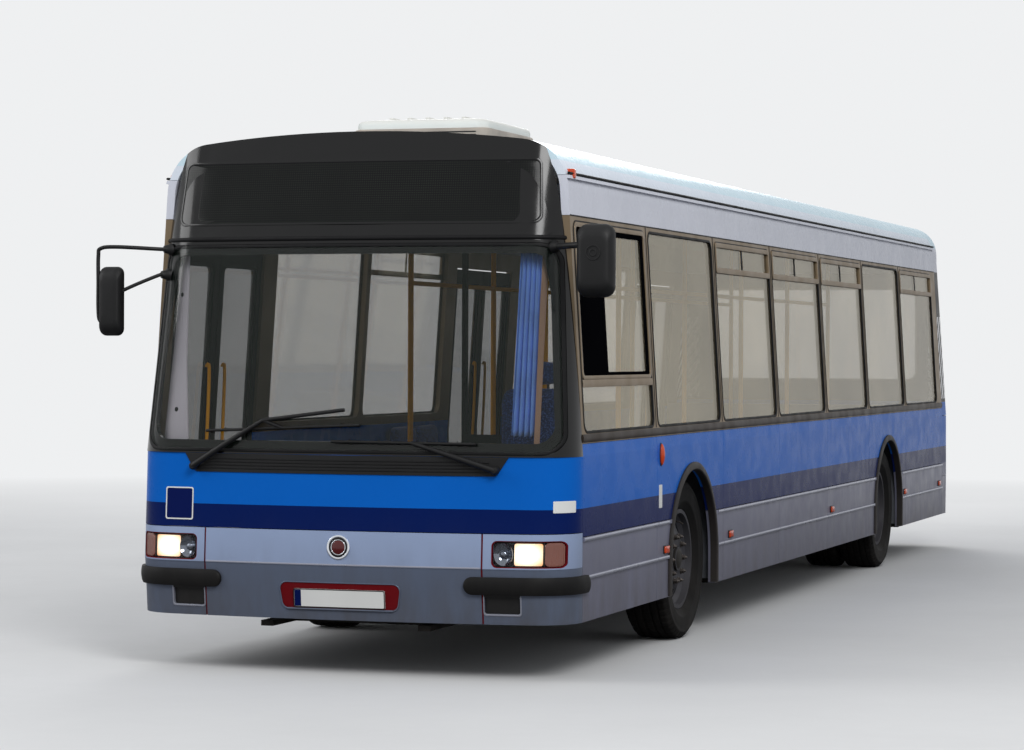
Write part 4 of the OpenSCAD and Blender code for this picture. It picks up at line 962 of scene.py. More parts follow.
class BUS_OT_screen(bpy.types.Operator):
    """Seals the windscreen, fits the destination window, header strip, high lamps and linings"""

    bl_idname = "bus.screen"
    bl_label = "Screen and display"

    def execute(self, context):
        top = HALF_WIDTH - (HEADER_Z - WAIST) * math.tan(LEAN)
        outer = upright(1.190, 1.210, HEADER_Z - 0.016, top - 0.036, 0.11)
        inner = upright(1.206, 1.194, HEADER_Z - 0.032, top - 0.052, 0.096)
        piece("screen_seal", "body", [ring(on_nose, outer, inner, -0.009, 0.0015, 0.002)],
              "black_rubber")
        win = upright(2.425, 1.035, 2.752, 1.012, 0.035)
        piece("display_window", "body", [tile(on_nose, win, 0.0035, 0.0050, 0.0005, fill=9)],
              "display_matrix")
        piece("display_rim", "body",
              [ring(on_nose, upright(2.412, 1.048, 2.765, 1.025, 0.045), win,
                    0.0035, 0.0075, 0.002)],
              "black_gloss")
        header = [strip(on_nose, level(-1.150, 1.150, 44, 2.328), level(-1.150, 1.150, 44, 2.350),
                        [(t, o * 0.012 if o > 0 else -0.002) for t, o in HALF_ROUND])]
        piece("header_strip", "body", header, "black_rubber")
        x = 1.135
        lo = np.array((x - 0.025, on_nose(x - 0.02, 2.66, 0.0)[1] + 0.035, 2.655))
        lamp = pad(lo, lo + (0.065, 0.045, 0.055), 0.35)
        bracket = tube([(x - 0.01, lo[1] + 0.055, 2.58), (x - 0.005, lo[1] + 0.05, 2.62),
                        (x, lo[1] + 0.03, 2.665)], 0.012)
        piece("clearance_lamps", "body", both([lamp]), "lamp_amber")
        piece("clearance_brackets", "body", both([bracket]), "black_plastic")
        right = outline([(-1.170, 1.24), (-0.955, 1.24), (-1.045, 2.27), (-1.115, 2.27)],
                        0.02, 4, 14)
        piece("pillar_lining", "body", [tile(on_nose, right, -0.085, -0.075, 0.003)],
              "lining_grey")
        left = outline([(1.050, 1.24), (1.090, 1.24), (1.115, 2.27), (1.075, 2.27)], 0.012, 4, 14)
        piece("pillar_lining_left", "body", [tile(on_nose, left, -0.085, -0.075, 0.003)],
              "lining_tan")
        buttons = [spin([(0, 0.004), (0.010, 0.003), (0.013, 0.0), (0.013, -0.002), (0, -0.002)],
                        on_nose(x, z, -0.075), outward(on_nose, x, z), 20)
                   for x, z in ((-1.055, 1.42), (-1.085, 2.05))]
        piece("lining_buttons", "body", buttons, "dash_plastic")
        self.curtain()
        return {"FINISHED"}

    def curtain(self):
        """Curtain gathered beside the driver: a sine wave of folds in plan, fanning out downwards,
        hung from the header."""
        u = np.linspace(0, 1, 61)[None]
        v = np.linspace(0, 1, 31)[:, None]
        x = 0.915 + 0.12 * u + 0.03 * v * (u - 0.5)
        fold = (0.012 + 0.010 * v) * np.sin(2 * np.pi * 5 * u + 0.6 * v)
        z = 2.27 - 0.98 * v + 0.004 * np.sin(2 * np.pi * 5 * u)
        y = on_nose(x, z, 0.0)[..., 1] + 0.10 + fold
        p = np.stack(np.broadcast_arrays(x, y, z), -1)
        flat = float(np.linalg.norm(np.diff(p, axis=1), axis=-1).sum(1).mean())
        tall = float(np.linalg.norm(np.diff(p, axis=0), axis=-1).sum(0).mean())
        obj = piece("curtain", "body", [grid(p)], "curtain_cloth", sharp=180)
        mod = obj.modifiers.new("Cloth thickness", "SOLIDIFY")
        mod.thickness = 0.0012


class BUS_OT_wipers(bpy.types.Operator):
    """Dresses the wipers: pivot caps, arm covers, blades and their rubber lips"""

    bl_idname = "bus.wipers"
    bl_label = "Wipers"

    def execute(self, context):
        cap = [(0, -0.016), (0.014, -0.014), (0.021, -0.006), (0.023, 0.004), (0.023, 0.02),
               (0, 0.02)]
        pivots = [(x, -5.957, 1.11) for x in (0.86, -0.86)]
        elbow = (-0.45, -5.958, 1.360)
        shapes, lips = [spin(cap, o, (0, 1, 0), 24) for o in pivots], []
        blades = (((-0.05, -5.978, 1.252), (0.75, -5.942, 1.246)),
                  ((-0.79, -5.938, 1.300), (0.11, -5.972, 1.340)))
        for a, b in blades:
            a, b = np.array(a), np.array(b)
            t = np.linspace(0, 1, 25)[:, None]
            bow = np.array((0, 1, 0)) * 0.010 * (4 * t * (1 - t))
            line = a + (b - a) * t
            x, z = line[:, 0], line[:, 2]
            seat = on_nose(x, z, 0.0) + outward(on_nose, x, z) * 0.006
            lips.append(tube(seat, 0.0042, 8))
            holder = 0.5 * (seat + line) - bow * 0.2
            shapes.append(tube(holder, 0.0065, 8))
            for k in (3, 8, 16, 21):
                shapes.append(tube(np.stack([seat[k] - (0, 0, 0.012), line[k],
                                             seat[k] + (0, 0, 0.012)]), 0.0035, 6, (0, 1, 0)))
        arms = ((pivots[0], (0.60, -5.965, 1.19), (0.40, -5.962, 1.249)),
                (pivots[1], (-0.66, -5.962, 1.235), elbow))
        for arm in arms:
            path = smooth_path(arm, 10)
            shapes.append(tube(path, np.linspace(0.0175, 0.0115, len(path)), 14, (0, 1, 0)))
        for end in ((-0.34, -5.955, 1.320), (0.02, -5.968, 1.420)):
            shapes.append(tube(np.linspace(elbow, end, 7), 0.0105, 12, (0, 1, 0)))
        piece("wiper_fittings", "body", shapes, "black_plastic")
        piece("wiper_lips", "body", lips, "black_rubber")
        return {"FINISHED"}


class BUS_OT_mirrors(bpy.types.Operator):
    """Shapes the two mirrors: shells, glass, arms and bosses"""

    bl_idname = "bus.mirrors"
    bl_label = "Mirrors"

    def head(self, x0, x1, y0, y1, z0, z1):
        """Shell: a rounded rectangle lofted from a full back edge to a smaller crowned front; its
        size shrinks with the square of the distance ahead of the glass."""
        edge = rect(x0, z0, x1, z1, min(x1 - x0, z1 - z0) * 0.28, 8, 8)
        c = edge.mean(0)
        t = np.linspace(0, 1, 9)
        scale = np.r_[0.80, 0.93, 1.0, 1.0 - 0.24 * t[1:] ** 2.2, 0.62, 0.40, 0.2, 0.0]
        y = np.r_[y1 - 0.006, y1 - 0.006, y1 - 0.002, y1 - 0.006 - (y1 - y0 - 0.012) * t[1:],
                  y0 + 0.002, y0 + 0.0008, y0 + 0.0002, y0]
        scale, y = np.r_[0.0, scale], np.r_[y1 - 0.006, y]
        p = c + (edge - c)[None] * scale[:, None, None]
        return grid(np.stack(np.broadcast_arrays(p[..., 0], y[:, None], p[..., 1]), -1),
                    wrap_v=True)

    def glass(self, x0, x1, y1, z0, z1):
        """Mirror's glass: a rounded plate facing backwards, inside the shell's rim."""
        back = on_plane((0, y1 - 0.008, 0), (-1, 0, 0), (0, 0, 1))
        m = 0.012
        return tile(back, rect(-x1 + m, z0 + m, -x0 - m, z1 - m, 0.025), 0.0, 0.004, 0.001)

    # How far the screen's foot stands behind the bumper's foremost line
    screen_foot = (NOSE_BANDS[2, 0] - NOSE_BANDS[1, 0]) * math.tan(NOSE_BANDS[1, 1] * DEG)

    def corner(self, phi, z, off):
        """Point round the screen's left corner at a plan angle and a height, off its skin."""
        rake, r = SCREEN_RAKE * DEG, NOSE_CORNER
        cx, cy = corner_centre(HALF_WIDTH * math.cos(LEAN), NOSE_CROWN, r)
        lx, ly = cx + (r + off) * math.cos(phi), cy + (r + off) * math.sin(phi)
        h = (z - WAIST - lx * math.sin(LEAN)) / math.cos(LEAN)
        h = (h + ly * math.sin(rake)) / math.cos(rake)
        up = h * math.cos(rake) - ly * math.sin(rake)
        y = -HALF_LENGTH + self.screen_foot + ly * math.cos(rake) + h * math.sin(rake)
        return np.array((lx * math.cos(LEAN) - up * math.sin(LEAN), y, z))

    def execute(self, context):
        phi = -45 * DEG
        right = [self.head(1.325, 1.466, -5.905, -5.842, 1.812, 2.192)]
        arm = [self.corner(phi, 2.29, 0.004), self.corner(phi, 2.29, 0.06), (1.36, -5.86, 2.300),
               (1.455, -5.87, 2.292), (1.470, -5.87, 2.25), (1.470, -5.87, 2.10),
               (1.470, -5.87, 1.97), (1.462, -5.87, 1.90), (1.43, -5.868, 1.885)]
        right.append(tube(smooth_path(arm, 10), 0.011, 14, (0.3, 1, 0.2)))
        low = [self.corner(phi, 2.15, 0.004), self.corner(phi, 2.15, 0.05),
               (1.33, -5.855, 2.06), (1.440, -5.868, 1.99)]
        right.append(tube(smooth_path(low, 8), 0.010, 12, (0.3, 1, 0.2)))
        boss = [(0, 0), (0.034, 0), (0.034, 0.012), (0.026, 0.02), (0.020, 0.045), (0, 0.05)]
        axis = self.corner(phi, 2.29, 0.05) - self.corner(phi, 2.29, 0.0)
        right += [spin(boss, self.corner(phi, z, 0.0005), axis, 24) for z in (2.29, 2.15)]
        right = [mirrored(s) for s in right]
        left = [self.head(1.274, 1.480, -5.905, -5.832, 2.018, 2.402)]
        arm = [self.corner(phi, 2.29, 0.004), self.corner(phi, 2.29, 0.05),
               (1.30, -5.868, 2.292), (1.36, -5.866, 2.29)]
        left.append(tube(smooth_path(arm, 8), 0.017, 14, (0.3, 1, 0.2)))
        left.append(spin(boss, self.corner(phi, 2.29, 0.0005), axis, 24))
        dial = on_plane((1.377, -5.9045, 2.25), (1, 0, 0), (0, 0, 1))
        circle = outline(dotted(0.042, n=16), 0.02, 2, 2)
        left += [ring(dial, circle, circle * 0.82, -0.003, 0.003),
                 ring(dial, circle * 0.5, circle * 0.3, -0.003, 0.003)]
        piece("mirror_shells", "body", right + left, "black_plastic", ["mirrors"],
              sharp=50)
        glass = [mirrored(self.glass(1.325, 1.466, -5.842, 1.812, 2.192)),
                 self.glass(1.274, 1.480, -5.832, 2.018, 2.402)]
        piece("mirror_glass", "body", glass, "chrome")
        return {"FINISHED"}


class BUS_OT_side_trim(bpy.types.Operator):
    """Fits waist rails, arch trims, rubbing strips, gutters and side lamps along the walls"""

    bl_idname = "bus.side_trim"
    bl_label = "Side trim"

    # Places of the side lamps along the left and the right wall, and middle of a repeater
    lamps = ((-3.948, -2.37, 0.768, 3.735, 5.4), (-4.0, -2.37, 0.768, 3.85, 5.4))
    repeater = np.array((-4.061, 1.14))

    def runs(self, cuts):
        """Stretches of wall from nose to tail left between the cuts."""
        edges = [NOSE_Y + 0.002, *(e for cut in cuts for e in cut), TAIL_Y - 0.002]
        return [(a, b) for a, b in zip(edges[::2], edges[1::2]) if b - a > 0.02]

    def doorways(self):
        """First and last place along the wall of each doorway."""
        mids = POST_Y[list(DOOR_BAYS)] + PITCH / 2
        return [(m - DOOR_HALF - 0.002, m + DOOR_HALF + 0.002) for m in mids]

    def arch(self, place, y):
        """Arch trim: the arch's circle from skirt to skirt and straight legs below it, swept with a
        raised lip that turns into the opening."""
        a = np.linspace(0, np.pi, 61)
        legs = np.linspace(SKIRT_Z + 0.004, TYRE_R, 8, endpoint=False)

        def line(r):
            up = np.stack([np.full(8, y - r), legs], -1)
            arc = np.stack([y - r * np.cos(a), TYRE_R + r * np.sin(a)], -1)
            return np.concatenate([up, arc, np.stack([np.full(8, y + r), legs[::-1]], -1)])

        return strip(place, line(ARCH_R - 0.001), line(ARCH_R + 0.045),
                     ((0, -0.03), (0, 0.010), (0.12, 0.016), (0.5, 0.017), (0.85, 0.013),
                      (1, 0.009), (1, -0.002), (0.1, -0.002), (0.06, -0.03)))

    def execute(self, context):
        doors = self.doorways()
        rail, gutter, strips, trims = [], [], [], []
        raised = [(t, 0.0078 + o * 0.004 if o > 0 else 0.0075) for t, o in HALF_ROUND]
        wall = (NOSE_Y + 0.005, TAIL_Y - 0.01, 60)
        for place, cuts in ((LEFT, ()), (RIGHT, doors)):
            for y0, y1 in self.runs(cuts):
                n = max(2, int((y1 - y0) * 4))
                low, high = level(y0, y1, n, 1.252), level(y0, y1, n, 1.296)
                rail.append(strip(place, low, high, bead(0.008)))
            gutter.append(strip(place, level(*wall, 2.676), level(*wall, 2.690), bead(0.016)))
            gutter.append(strip(place, level(*wall, 2.4565), level(*wall, 2.464), bead(0.003)))
            arches = [(a - ARCH_R - 0.048, a + ARCH_R + 0.048) for a in AXLES]
            holes = sorted(arches + list(cuts))
            merged = [holes[0]]
            for h in holes[1:]:
                if h[0] <= merged[-1][1]:
                    merged[-1] = (merged[-1][0], max(merged[-1][1], h[1]))
                else:
                    merged.append(h)
            for y0, y1 in self.runs(merged):
                marks = [y0, *[p for p in POST_Y[1:7] if y0 + 0.05 < p < y1 - 0.05], y1]
                for a, b in zip(marks, marks[1:]):
                    for z in (0.5255, 0.7295):
                        strips.append(strip(place, level(a + 0.004, b - 0.004, 6, z),
                                            level(a + 0.004, b - 0.004, 6, z + 0.019), raised))
            for y in AXLES:
                trims.append(self.arch(place, y))
        piece("waist_rails", "body", rail, "dark_bronze")
        piece("gutters", "body", gutter, "black_rubber")
        piece("rubbing_strips", "body", strips, "bright_strip")
        piece("arch_trims", "body", trims, "arch_rubber")
        lens, bases = [], []
        for place in (LEFT, RIGHT):
            middle = self.repeater
            edge = outline(dotted(0.026, 0.062 / 0.026, middle, 16), 0.008, 2, 2)
            lens.append(tile(place, edge, 0.002, 0.012, 0.004, crown=0.012))
            bases.append(tile(place, (edge - middle) * 1.12 + middle, 0.0, 0.004, 0.002))
        for place, spots in zip((LEFT, RIGHT), self.lamps):
            for y in spots:
                bases.append(tile(place, rect(y - 0.052, 0.557, y + 0.052, 0.606, 0.008),
                                  0.0002, 0.006, 0.002))
                lens.append(tile(place, rect(y - 0.047, 0.561, y + 0.047, 0.602, 0.010),
                                 0.004, 0.0145, 0.004, crown=0.003))
        piece("side_lamp_lenses", "body", lens, "lamp_amber")
        piece("side_lamp_bases", "body", bases, "black_plastic")
        return {"FINISHED"}


class BUS_OT_windows(bpy.types.Operator):
    """Glazes the side windows: rubbers, posts, opening vents and the driver's sliding pane"""

    bl_idname = "bus.windows"
    bl_label = "Side windows"

    def bay(self, n):
        """First and last place along the wall of a bay's glass."""
        return max(POST_Y[n] + 0.035, NOSE_Y + 0.045), POST_Y[n + 1] - 0.035

    def execute(self, context):
        rubbers, vents, panes, posts = [], [], [], []
        for place, bays, open_vents in ((LEFT, range(7), (2, 3, 4, 6)),
                                        (RIGHT, (1, 2, 4, 5), (2, 4))):
            for n in bays:
                y0, y1 = self.bay(n)
                z0, z1 = GLASS_Z, CANTRAIL_Z - 0.025
                outer = rect(y0 - 0.002, z0 - 0.002, y1 + 0.002, z1 + 0.002, 0.062, 8, 14)
                inner = rect(y0 + 0.013, z0 + 0.013, y1 - 0.013, z1 - 0.013, 0.048, 8, 14)
                rubbers.append(ring(place, outer, inner, -0.009, 0.003, 0.002))
                if n in open_vents:
                    outer = rect(y0 + 0.014, 2.236, y1 - 0.014, z1 - 0.006, 0.02, 6, 14)
                    inner = rect(y0 + 0.040, 2.272, y1 - 0.040, z1 - 0.036, 0.012, 6, 14)
                    vents.append(ring(place, outer, inner, -0.010, 0.007, 0.002))
                    mid = (y0 + y1) / 2
                    panes.append(strip(place, level(mid - 0.012, mid + 0.012, 2, 2.27),
                                       level(mid - 0.012, mid + 0.012, 2, 2.40),
                                       ((0, -0.009), (0, -0.004), (1, -0.004), (1, -0.009))))
            for y in POST_Y[1:7] if place is LEFT else POST_Y[[2, 5]]:
                posts.append(strip(place, level_z(y - 0.004, 1.300, 2.455, 10),
                                   level_z(y + 0.004, 1.300, 2.455, 10),
                                   ((0, -0.002), (0, 0.002), (1, 0.002), (1, -0.002))))
        y0, y1 = self.bay(0)
        vents.append(strip(LEFT, level(y0 + 0.01, y1 - 0.01, 8, 1.545),
                           level(y0 + 0.01, y1 - 0.01, 8, 1.585),
                           ((0, -0.010), (0, 0.004), (0.5, 0.007), (1, 0.004), (1, -0.010))))
        outer = rect(y0 + 0.012, 1.585, y1 - 0.012, CANTRAIL_Z - 0.032, 0.04, 6, 14)
        inner = rect(y0 + 0.038, 1.607, y1 - 0.038, CANTRAIL_Z - 0.058, 0.028, 6, 14)
        vents.append(ring(LEFT, outer, inner, -0.010, 0.005, 0.002))
        slide = -5.10
        # Driver's window: the sliding pane's dark frame, and in the open part a black sheet of
        # painted shade in place of the cabin behind.
        dark = [ring(LEFT, rect(slide, 1.600, y1 - 0.045, CANTRAIL_Z - 0.06, 0.012, 4, 10),
                     rect(slide + 0.035, 1.625, y1 - 0.085, CANTRAIL_Z - 0.085, 0.008, 4, 10),
                     -0.009, 0.0005, 0.001),
                tile(LEFT, rect(y0 + 0.038, 1.607, slide, CANTRAIL_Z - 0.058, 0.012, 4, 10),
                     -0.009, -0.004, 0.001)]
        piece("window_rubbers", "body", rubbers + posts + panes, "black_rubber")
        piece("vent_frames", "body", vents, "window_frame")
        piece("driver_slider", "body", dark, "open_window")
        return {"FINISHED"}


class BUS_OT_doors(bpy.types.Operator):
    """Builds the six door leaves: frames, glass, seals and grab bars"""

    bl_idname = "bus.doors"
    bl_label = "Doors"

    def execute(self, context):
        for number, n in enumerate(DOOR_BAYS, 1):
            mid = POST_Y[n] + PITCH / 2
            for word, end in (("front", -1), ("rear", 1)):
                near, far = mid + end * 0.01, mid + end * (DOOR_HALF - 0.008)
                y0, y1 = min(near, far), max(near, far)
                z0, z1 = 0.378, DOOR_TOP - 0.008
                body = f"door_{number}_{word}"
                outer = rect(y0, z0, y1, z1, 0.012, 4, 16)
                inner = rect(y0 + 0.060, z0 + 0.15, y1 - 0.060, z1 - 0.09, 0.05, 4, 16)
                leaf = ring(RIGHT, outer, inner, -0.032, 0.0, 0.003, 3)
                piece(f"{body}_leaf", body, [leaf], "door_grey", [body])
                sight = rect(y0 + 0.078, z0 + 0.168, y1 - 0.078, z1 - 0.108, 0.04, 4, 16)
                seal = ring(RIGHT, inner, sight, -0.022, 0.002, 0.002)
                edge = near - end * 0.0045
                bump = strip(RIGHT, level_z(edge - 0.004, z0 + 0.01, z1 - 0.01, 16),
                             level_z(edge + 0.004, z0 + 0.01, z1 - 0.01, 16),
                             ((0, -0.028), (0, -0.003), (0.5, -0.001), (1, -0.003), (1, -0.028)))
                piece(f"{body}_seal", body, [seal, bump], "black_rubber")
                border = rect(y0 + 0.062, z0 + 0.152, y1 - 0.062, z1 - 0.092, 0.048, 4, 16)
                pane = tile(RIGHT, border, -0.018, -0.010, 0.001)
                piece(f"{body}_glass", body, [pane], "door_glass")
                y = near + end * 0.10
                bar = smooth_path(RIGHT(np.array([y, y, y, y]), np.array([0.95, 1.0, 1.6, 1.65]),
                                        np.array([-0.03, -0.052, -0.052, -0.03])), 6)
                piece(f"{body}_bar", body, [tube(bar, 0.010, 10, (0, 1, 0))],
                      "rail_yellow")
        return {"FINISHED"}


class BUS_OT_roof_trim(bpy.types.Operator):
    """Shapes the air-conditioning unit and the roof hatches' lids"""

    bl_idname = "bus.roof_trim"
    bl_label = "Roof trim"

    def execute(self, context):
        top = on_plane((0, 0, 0), (1, 0, 0), (0, 1, 0))
        base = tile(top, rect(-0.409, -4.749, 0.409, -3.851, 0.05), 2.9285, 3.006, 0.012)
        piece("unit_base", "body", [base], "unit_base", ["ac_unit"])
        cover = tile(top, rect(-0.400, -4.740, 0.400, -3.860, 0.07, 8, 10), 3.006, 3.058, 0.030,
                     fill=8, crown=0.021)
        fins = [tile(top, rect(x - 0.012, -4.62, x + 0.012, -3.98, 0.008, 4, 6), 3.068, 3.0795,
                     0.003) for x in (-0.22, -0.11, 0, 0.11, 0.22)]
        piece("unit_cover", "body", [cover], "unit_white")
        piece("unit_fins", "body", fins, "unit_white")
        slots = []
        side = on_plane((0, -4.749, 0), (1, 0, 0), (0, 0, 1))
        for z in (2.945, 2.962, 2.979):
            low, high = level(-0.34, 0.34, 8, z), level(-0.34, 0.34, 8, z + 0.008)
            slots.append(strip(side, low, high, bead(0.001)))
        piece("unit_slots", "body", slots, "black_plastic")
        for name, y in (("roof_hatch_front", -1.75), ("roof_hatch_rear", 2.70)):
            lid = tile(top, rect(-0.364, y - 0.364, 0.364, y + 0.364, 0.05), 2.9205, 2.955, 0.014,
                       fill=6, crown=0.003)
            bars = [tile(top, rect(x - 0.02, y - 0.28, x + 0.02, y + 0.28, 0.012, 4, 6),
                         2.955, 2.9615, 0.003) for x in (-0.2, 0, 0.2)]
            rim = ring(top, rect(-0.312, y - 0.312, 0.312, y + 0.312, 0.01),
                       rect(-0.292, y - 0.292, 0.292, y + 0.292, 0.01), 2.88, 2.9203, 0.001)
            piece(f"{name}_lid", name, [lid, *bars, rim], "unit_white", [name])
        return {"FINISHED"}


class BUS_OT_rear_trim(bpy.types.Operator):
    """Fits the rear lamps, window seal, plate, hatch catches and high lamps"""

    bl_idname = "bus.rear_trim"
    bl_label = "Rear trim"

    def execute(self, context):
        outer = rect(-0.964, 1.476, 0.964, 2.334, 0.094, 8, 16)
        inner = rect(-0.940, 1.500, 0.940, 2.310, 0.075, 8, 16)
        piece("rear_window_seal", "body", [ring(on_tail, outer, inner, -0.010, 0.003, 0.002)],
              "black_rubber")
        cells = ((0.806, 0.915, "lamp_red"), (0.920, 1.025, "lamp_amber"),
                 (1.030, 1.134, "lamp_red"))
        lenses = {}
        for s in (-1, 1):
            for z0, z1, name in cells:
                edge = rect(s * 1.09 - 0.048, z0 + 0.002, s * 1.09 + 0.048, z1 - 0.002, 0.014)
                lenses.setdefault(name, []).append(tile(on_tail, edge, -0.010, 0.004, 0.004,
                                                        crown=0.006))
        housing = [tile(on_tail, rect(s * 1.09 - 0.0545, 0.8005, s * 1.09 + 0.0545, 1.1395, 0.006),
                        -0.040, -0.004, 0.001) for s in (-1, 1)]
        piece("rear_lamp_housings", "body", housing, "black_plastic", ["rear_lamps"])
        piece("rear_lamp_red", "body", lenses["lamp_red"], "lamp_red")
        piece("rear_lamp_amber", "body", lenses["lamp_amber"], "lamp_amber")
        high = [tile(on_tail, rect(s * 0.85 - 0.05, 2.62, s * 0.85 + 0.05, 2.655, 0.01),
                     0.0, 0.014, 0.004) for s in (-1, 1)]
        piece("rear_high_lamps", "body", high, "lamp_red")
        half = settings().plate_width / 2
        piece("number_plate_rear", "body",
              [tile(on_tail, rect(-half, 0.48, half, 0.59, 0.008), 0.0002, 0.004, 0.001)],
              "plate_white")
        low = [tile(on_tail, rect(s * 0.95 - 0.05, 0.50, s * 0.95 + 0.05, 0.54, 0.008),
                    0.0002, 0.006, 0.002) for s in (-1, 1)]
        piece("rear_reflectors", "body", low, "lamp_red")
        catches = [spin([(0, 0.004), (0.014, 0.004), (0.017, 0.002), (0.018, -0.004), (0, -0.004)],
                        on_tail(x, 0.700, 0.0), (0, 1, 0), 24) for x in (-0.78, 0.78)]
        piece("hatch_catches", "engine_hatch", catches, "steel_stud")
        return {"FINISHED"}


def swollen(shape, voxel, cap):
    """A pad blown up as cloth: remeshed, pressed outwards with gravity off for twenty frames,
    each point then held within cap of where it began."""
    scene = bpy.context.scene
    mesh = bpy.data.meshes.new("pad")
    mesh.from_pydata(shape[0].tolist(), [], shape[1].tolist())
    close(mesh)
    obj = bpy.data.objects.new("pad", mesh)
    scene.collection.objects.link(obj)
    voxels = obj.modifiers.new("Voxels", "REMESH")
    voxels.mode, voxels.voxel_size = "VOXEL", voxel
    cloth = obj.modifiers.new("Cloth", "CLOTH")
    cloth.settings.use_pressure = True
    cloth.settings.uniform_pressure_force = 4.0
    cloth.settings.effector_weights.gravity = 0.0
    cloth.settings.quality = 5

    def modified():
        """Points and faces of the pad with its modifiers."""
        bpy.context.view_layer.update()
        data = obj.evaluated_get(bpy.context.evaluated_depsgraph_get()).data
        return (np.array([v.co for v in data.vertices]),
                np.array([list(f.vertices) for f in data.polygons]))

    cloth.show_viewport = False
    first = modified()[0]
    cloth.show_viewport = True
    for step in range(1, 21):
        scene.frame_set(step)
    last, quads = modified()
    scene.frame_set(1)
    bpy.data.objects.remove(obj)
    bpy.data.meshes.remove(mesh)
    if last.shape != first.shape or not np.isfinite(last).all():
        raise RuntimeError("a pad's cloth lost points")
    move = last - first
    far = np.linalg.norm(move, axis=1, keepdims=True)
    return first + move * np.minimum(1, cap / np.maximum(far, 1e-9)), quads


class BUS_OT_cabin(bpy.types.Operator):
    """Upholsters the seats and dresses the driver's place"""

    bl_idname = "bus.cabin"
    bl_label = "Cabin"

    # Side and middle of each pair of seats, and the height of the driver's platform
    pairs = ((1, -1.65), (1, -0.65), (1, 0.35), (1, 1.35), (-1, -1.65), (-1, 1.35))
    platform = 0.56

    def execute(self, context):
        base = [swollen(pad(lo, hi, 0.3, 24, 48), 0.0125, 0.007)
                for lo, hi in (((0.772, -0.208, 0.770), (1.178, 0.208, 0.829)),
                               ((1.118, -0.208, 0.866), (1.184, 0.208, 1.230)))]
        cushions, frames = [], []
        for side, y in self.pairs:
            for half in (-1, 1):
                pads = [(pts + (0, y + half * 0.22, 0), quads) for pts, quads in base]
                cushions += [p if side > 0 else mirrored(p) for p in pads]
            leg = [pad((0.895, y - 0.06, 0.367), (0.965, y + 0.06, 0.765), 0.15),
                   pad((0.78, y - 0.43, 0.752), (1.18, y + 0.43, 0.772), 0.1)]
            frames += [p if side > 0 else mirrored(p) for p in leg]
        seat = piece("seat_cushions", "body", cushions, "seat_cloth", ["seats"],
                     sharp=60)
        piece("seat_frames", "body", frames, "dash_plastic")
        z = self.platform
        driver = [swollen(pad(lo, hi, 0.32, 24, 48), 0.008, cap) for lo, hi, cap in (
            ((0.403, -4.997, z + 0.338), (0.877, -4.553, z + 0.432), 0.008),
            ((0.420, -4.552, z + 0.458), (0.860, -4.453, z + 0.972), 0.008),
            ((0.506, -4.544, z + 0.991), (0.774, -4.466, z + 1.112), 0.006))]
        pad_obj = piece("driver_cushions", "body", driver, "seat_cloth",
                        ["driver_seat"], sharp=60)
        post = ((-4.580, 0.30), (-4.532, 0.37), (-4.508, 0.45), (-4.503, 0.60), (-4.503, 1.05))
        posts = [tube(smooth_path([(x, y, z + h) for y, h in post], 8), 0.008, 12, (1, 0, 0))
                 for x in (0.58, 0.70)]
        piece("driver_seat_posts", "body", posts, "steel_stud")
        piece("driver_seat_base", "body",
              [pad((0.405, -4.975, z + 0.003), (0.875, -4.565, z + 0.33), 0.15)],
              "dash_plastic")
        return {"FINISHED"}


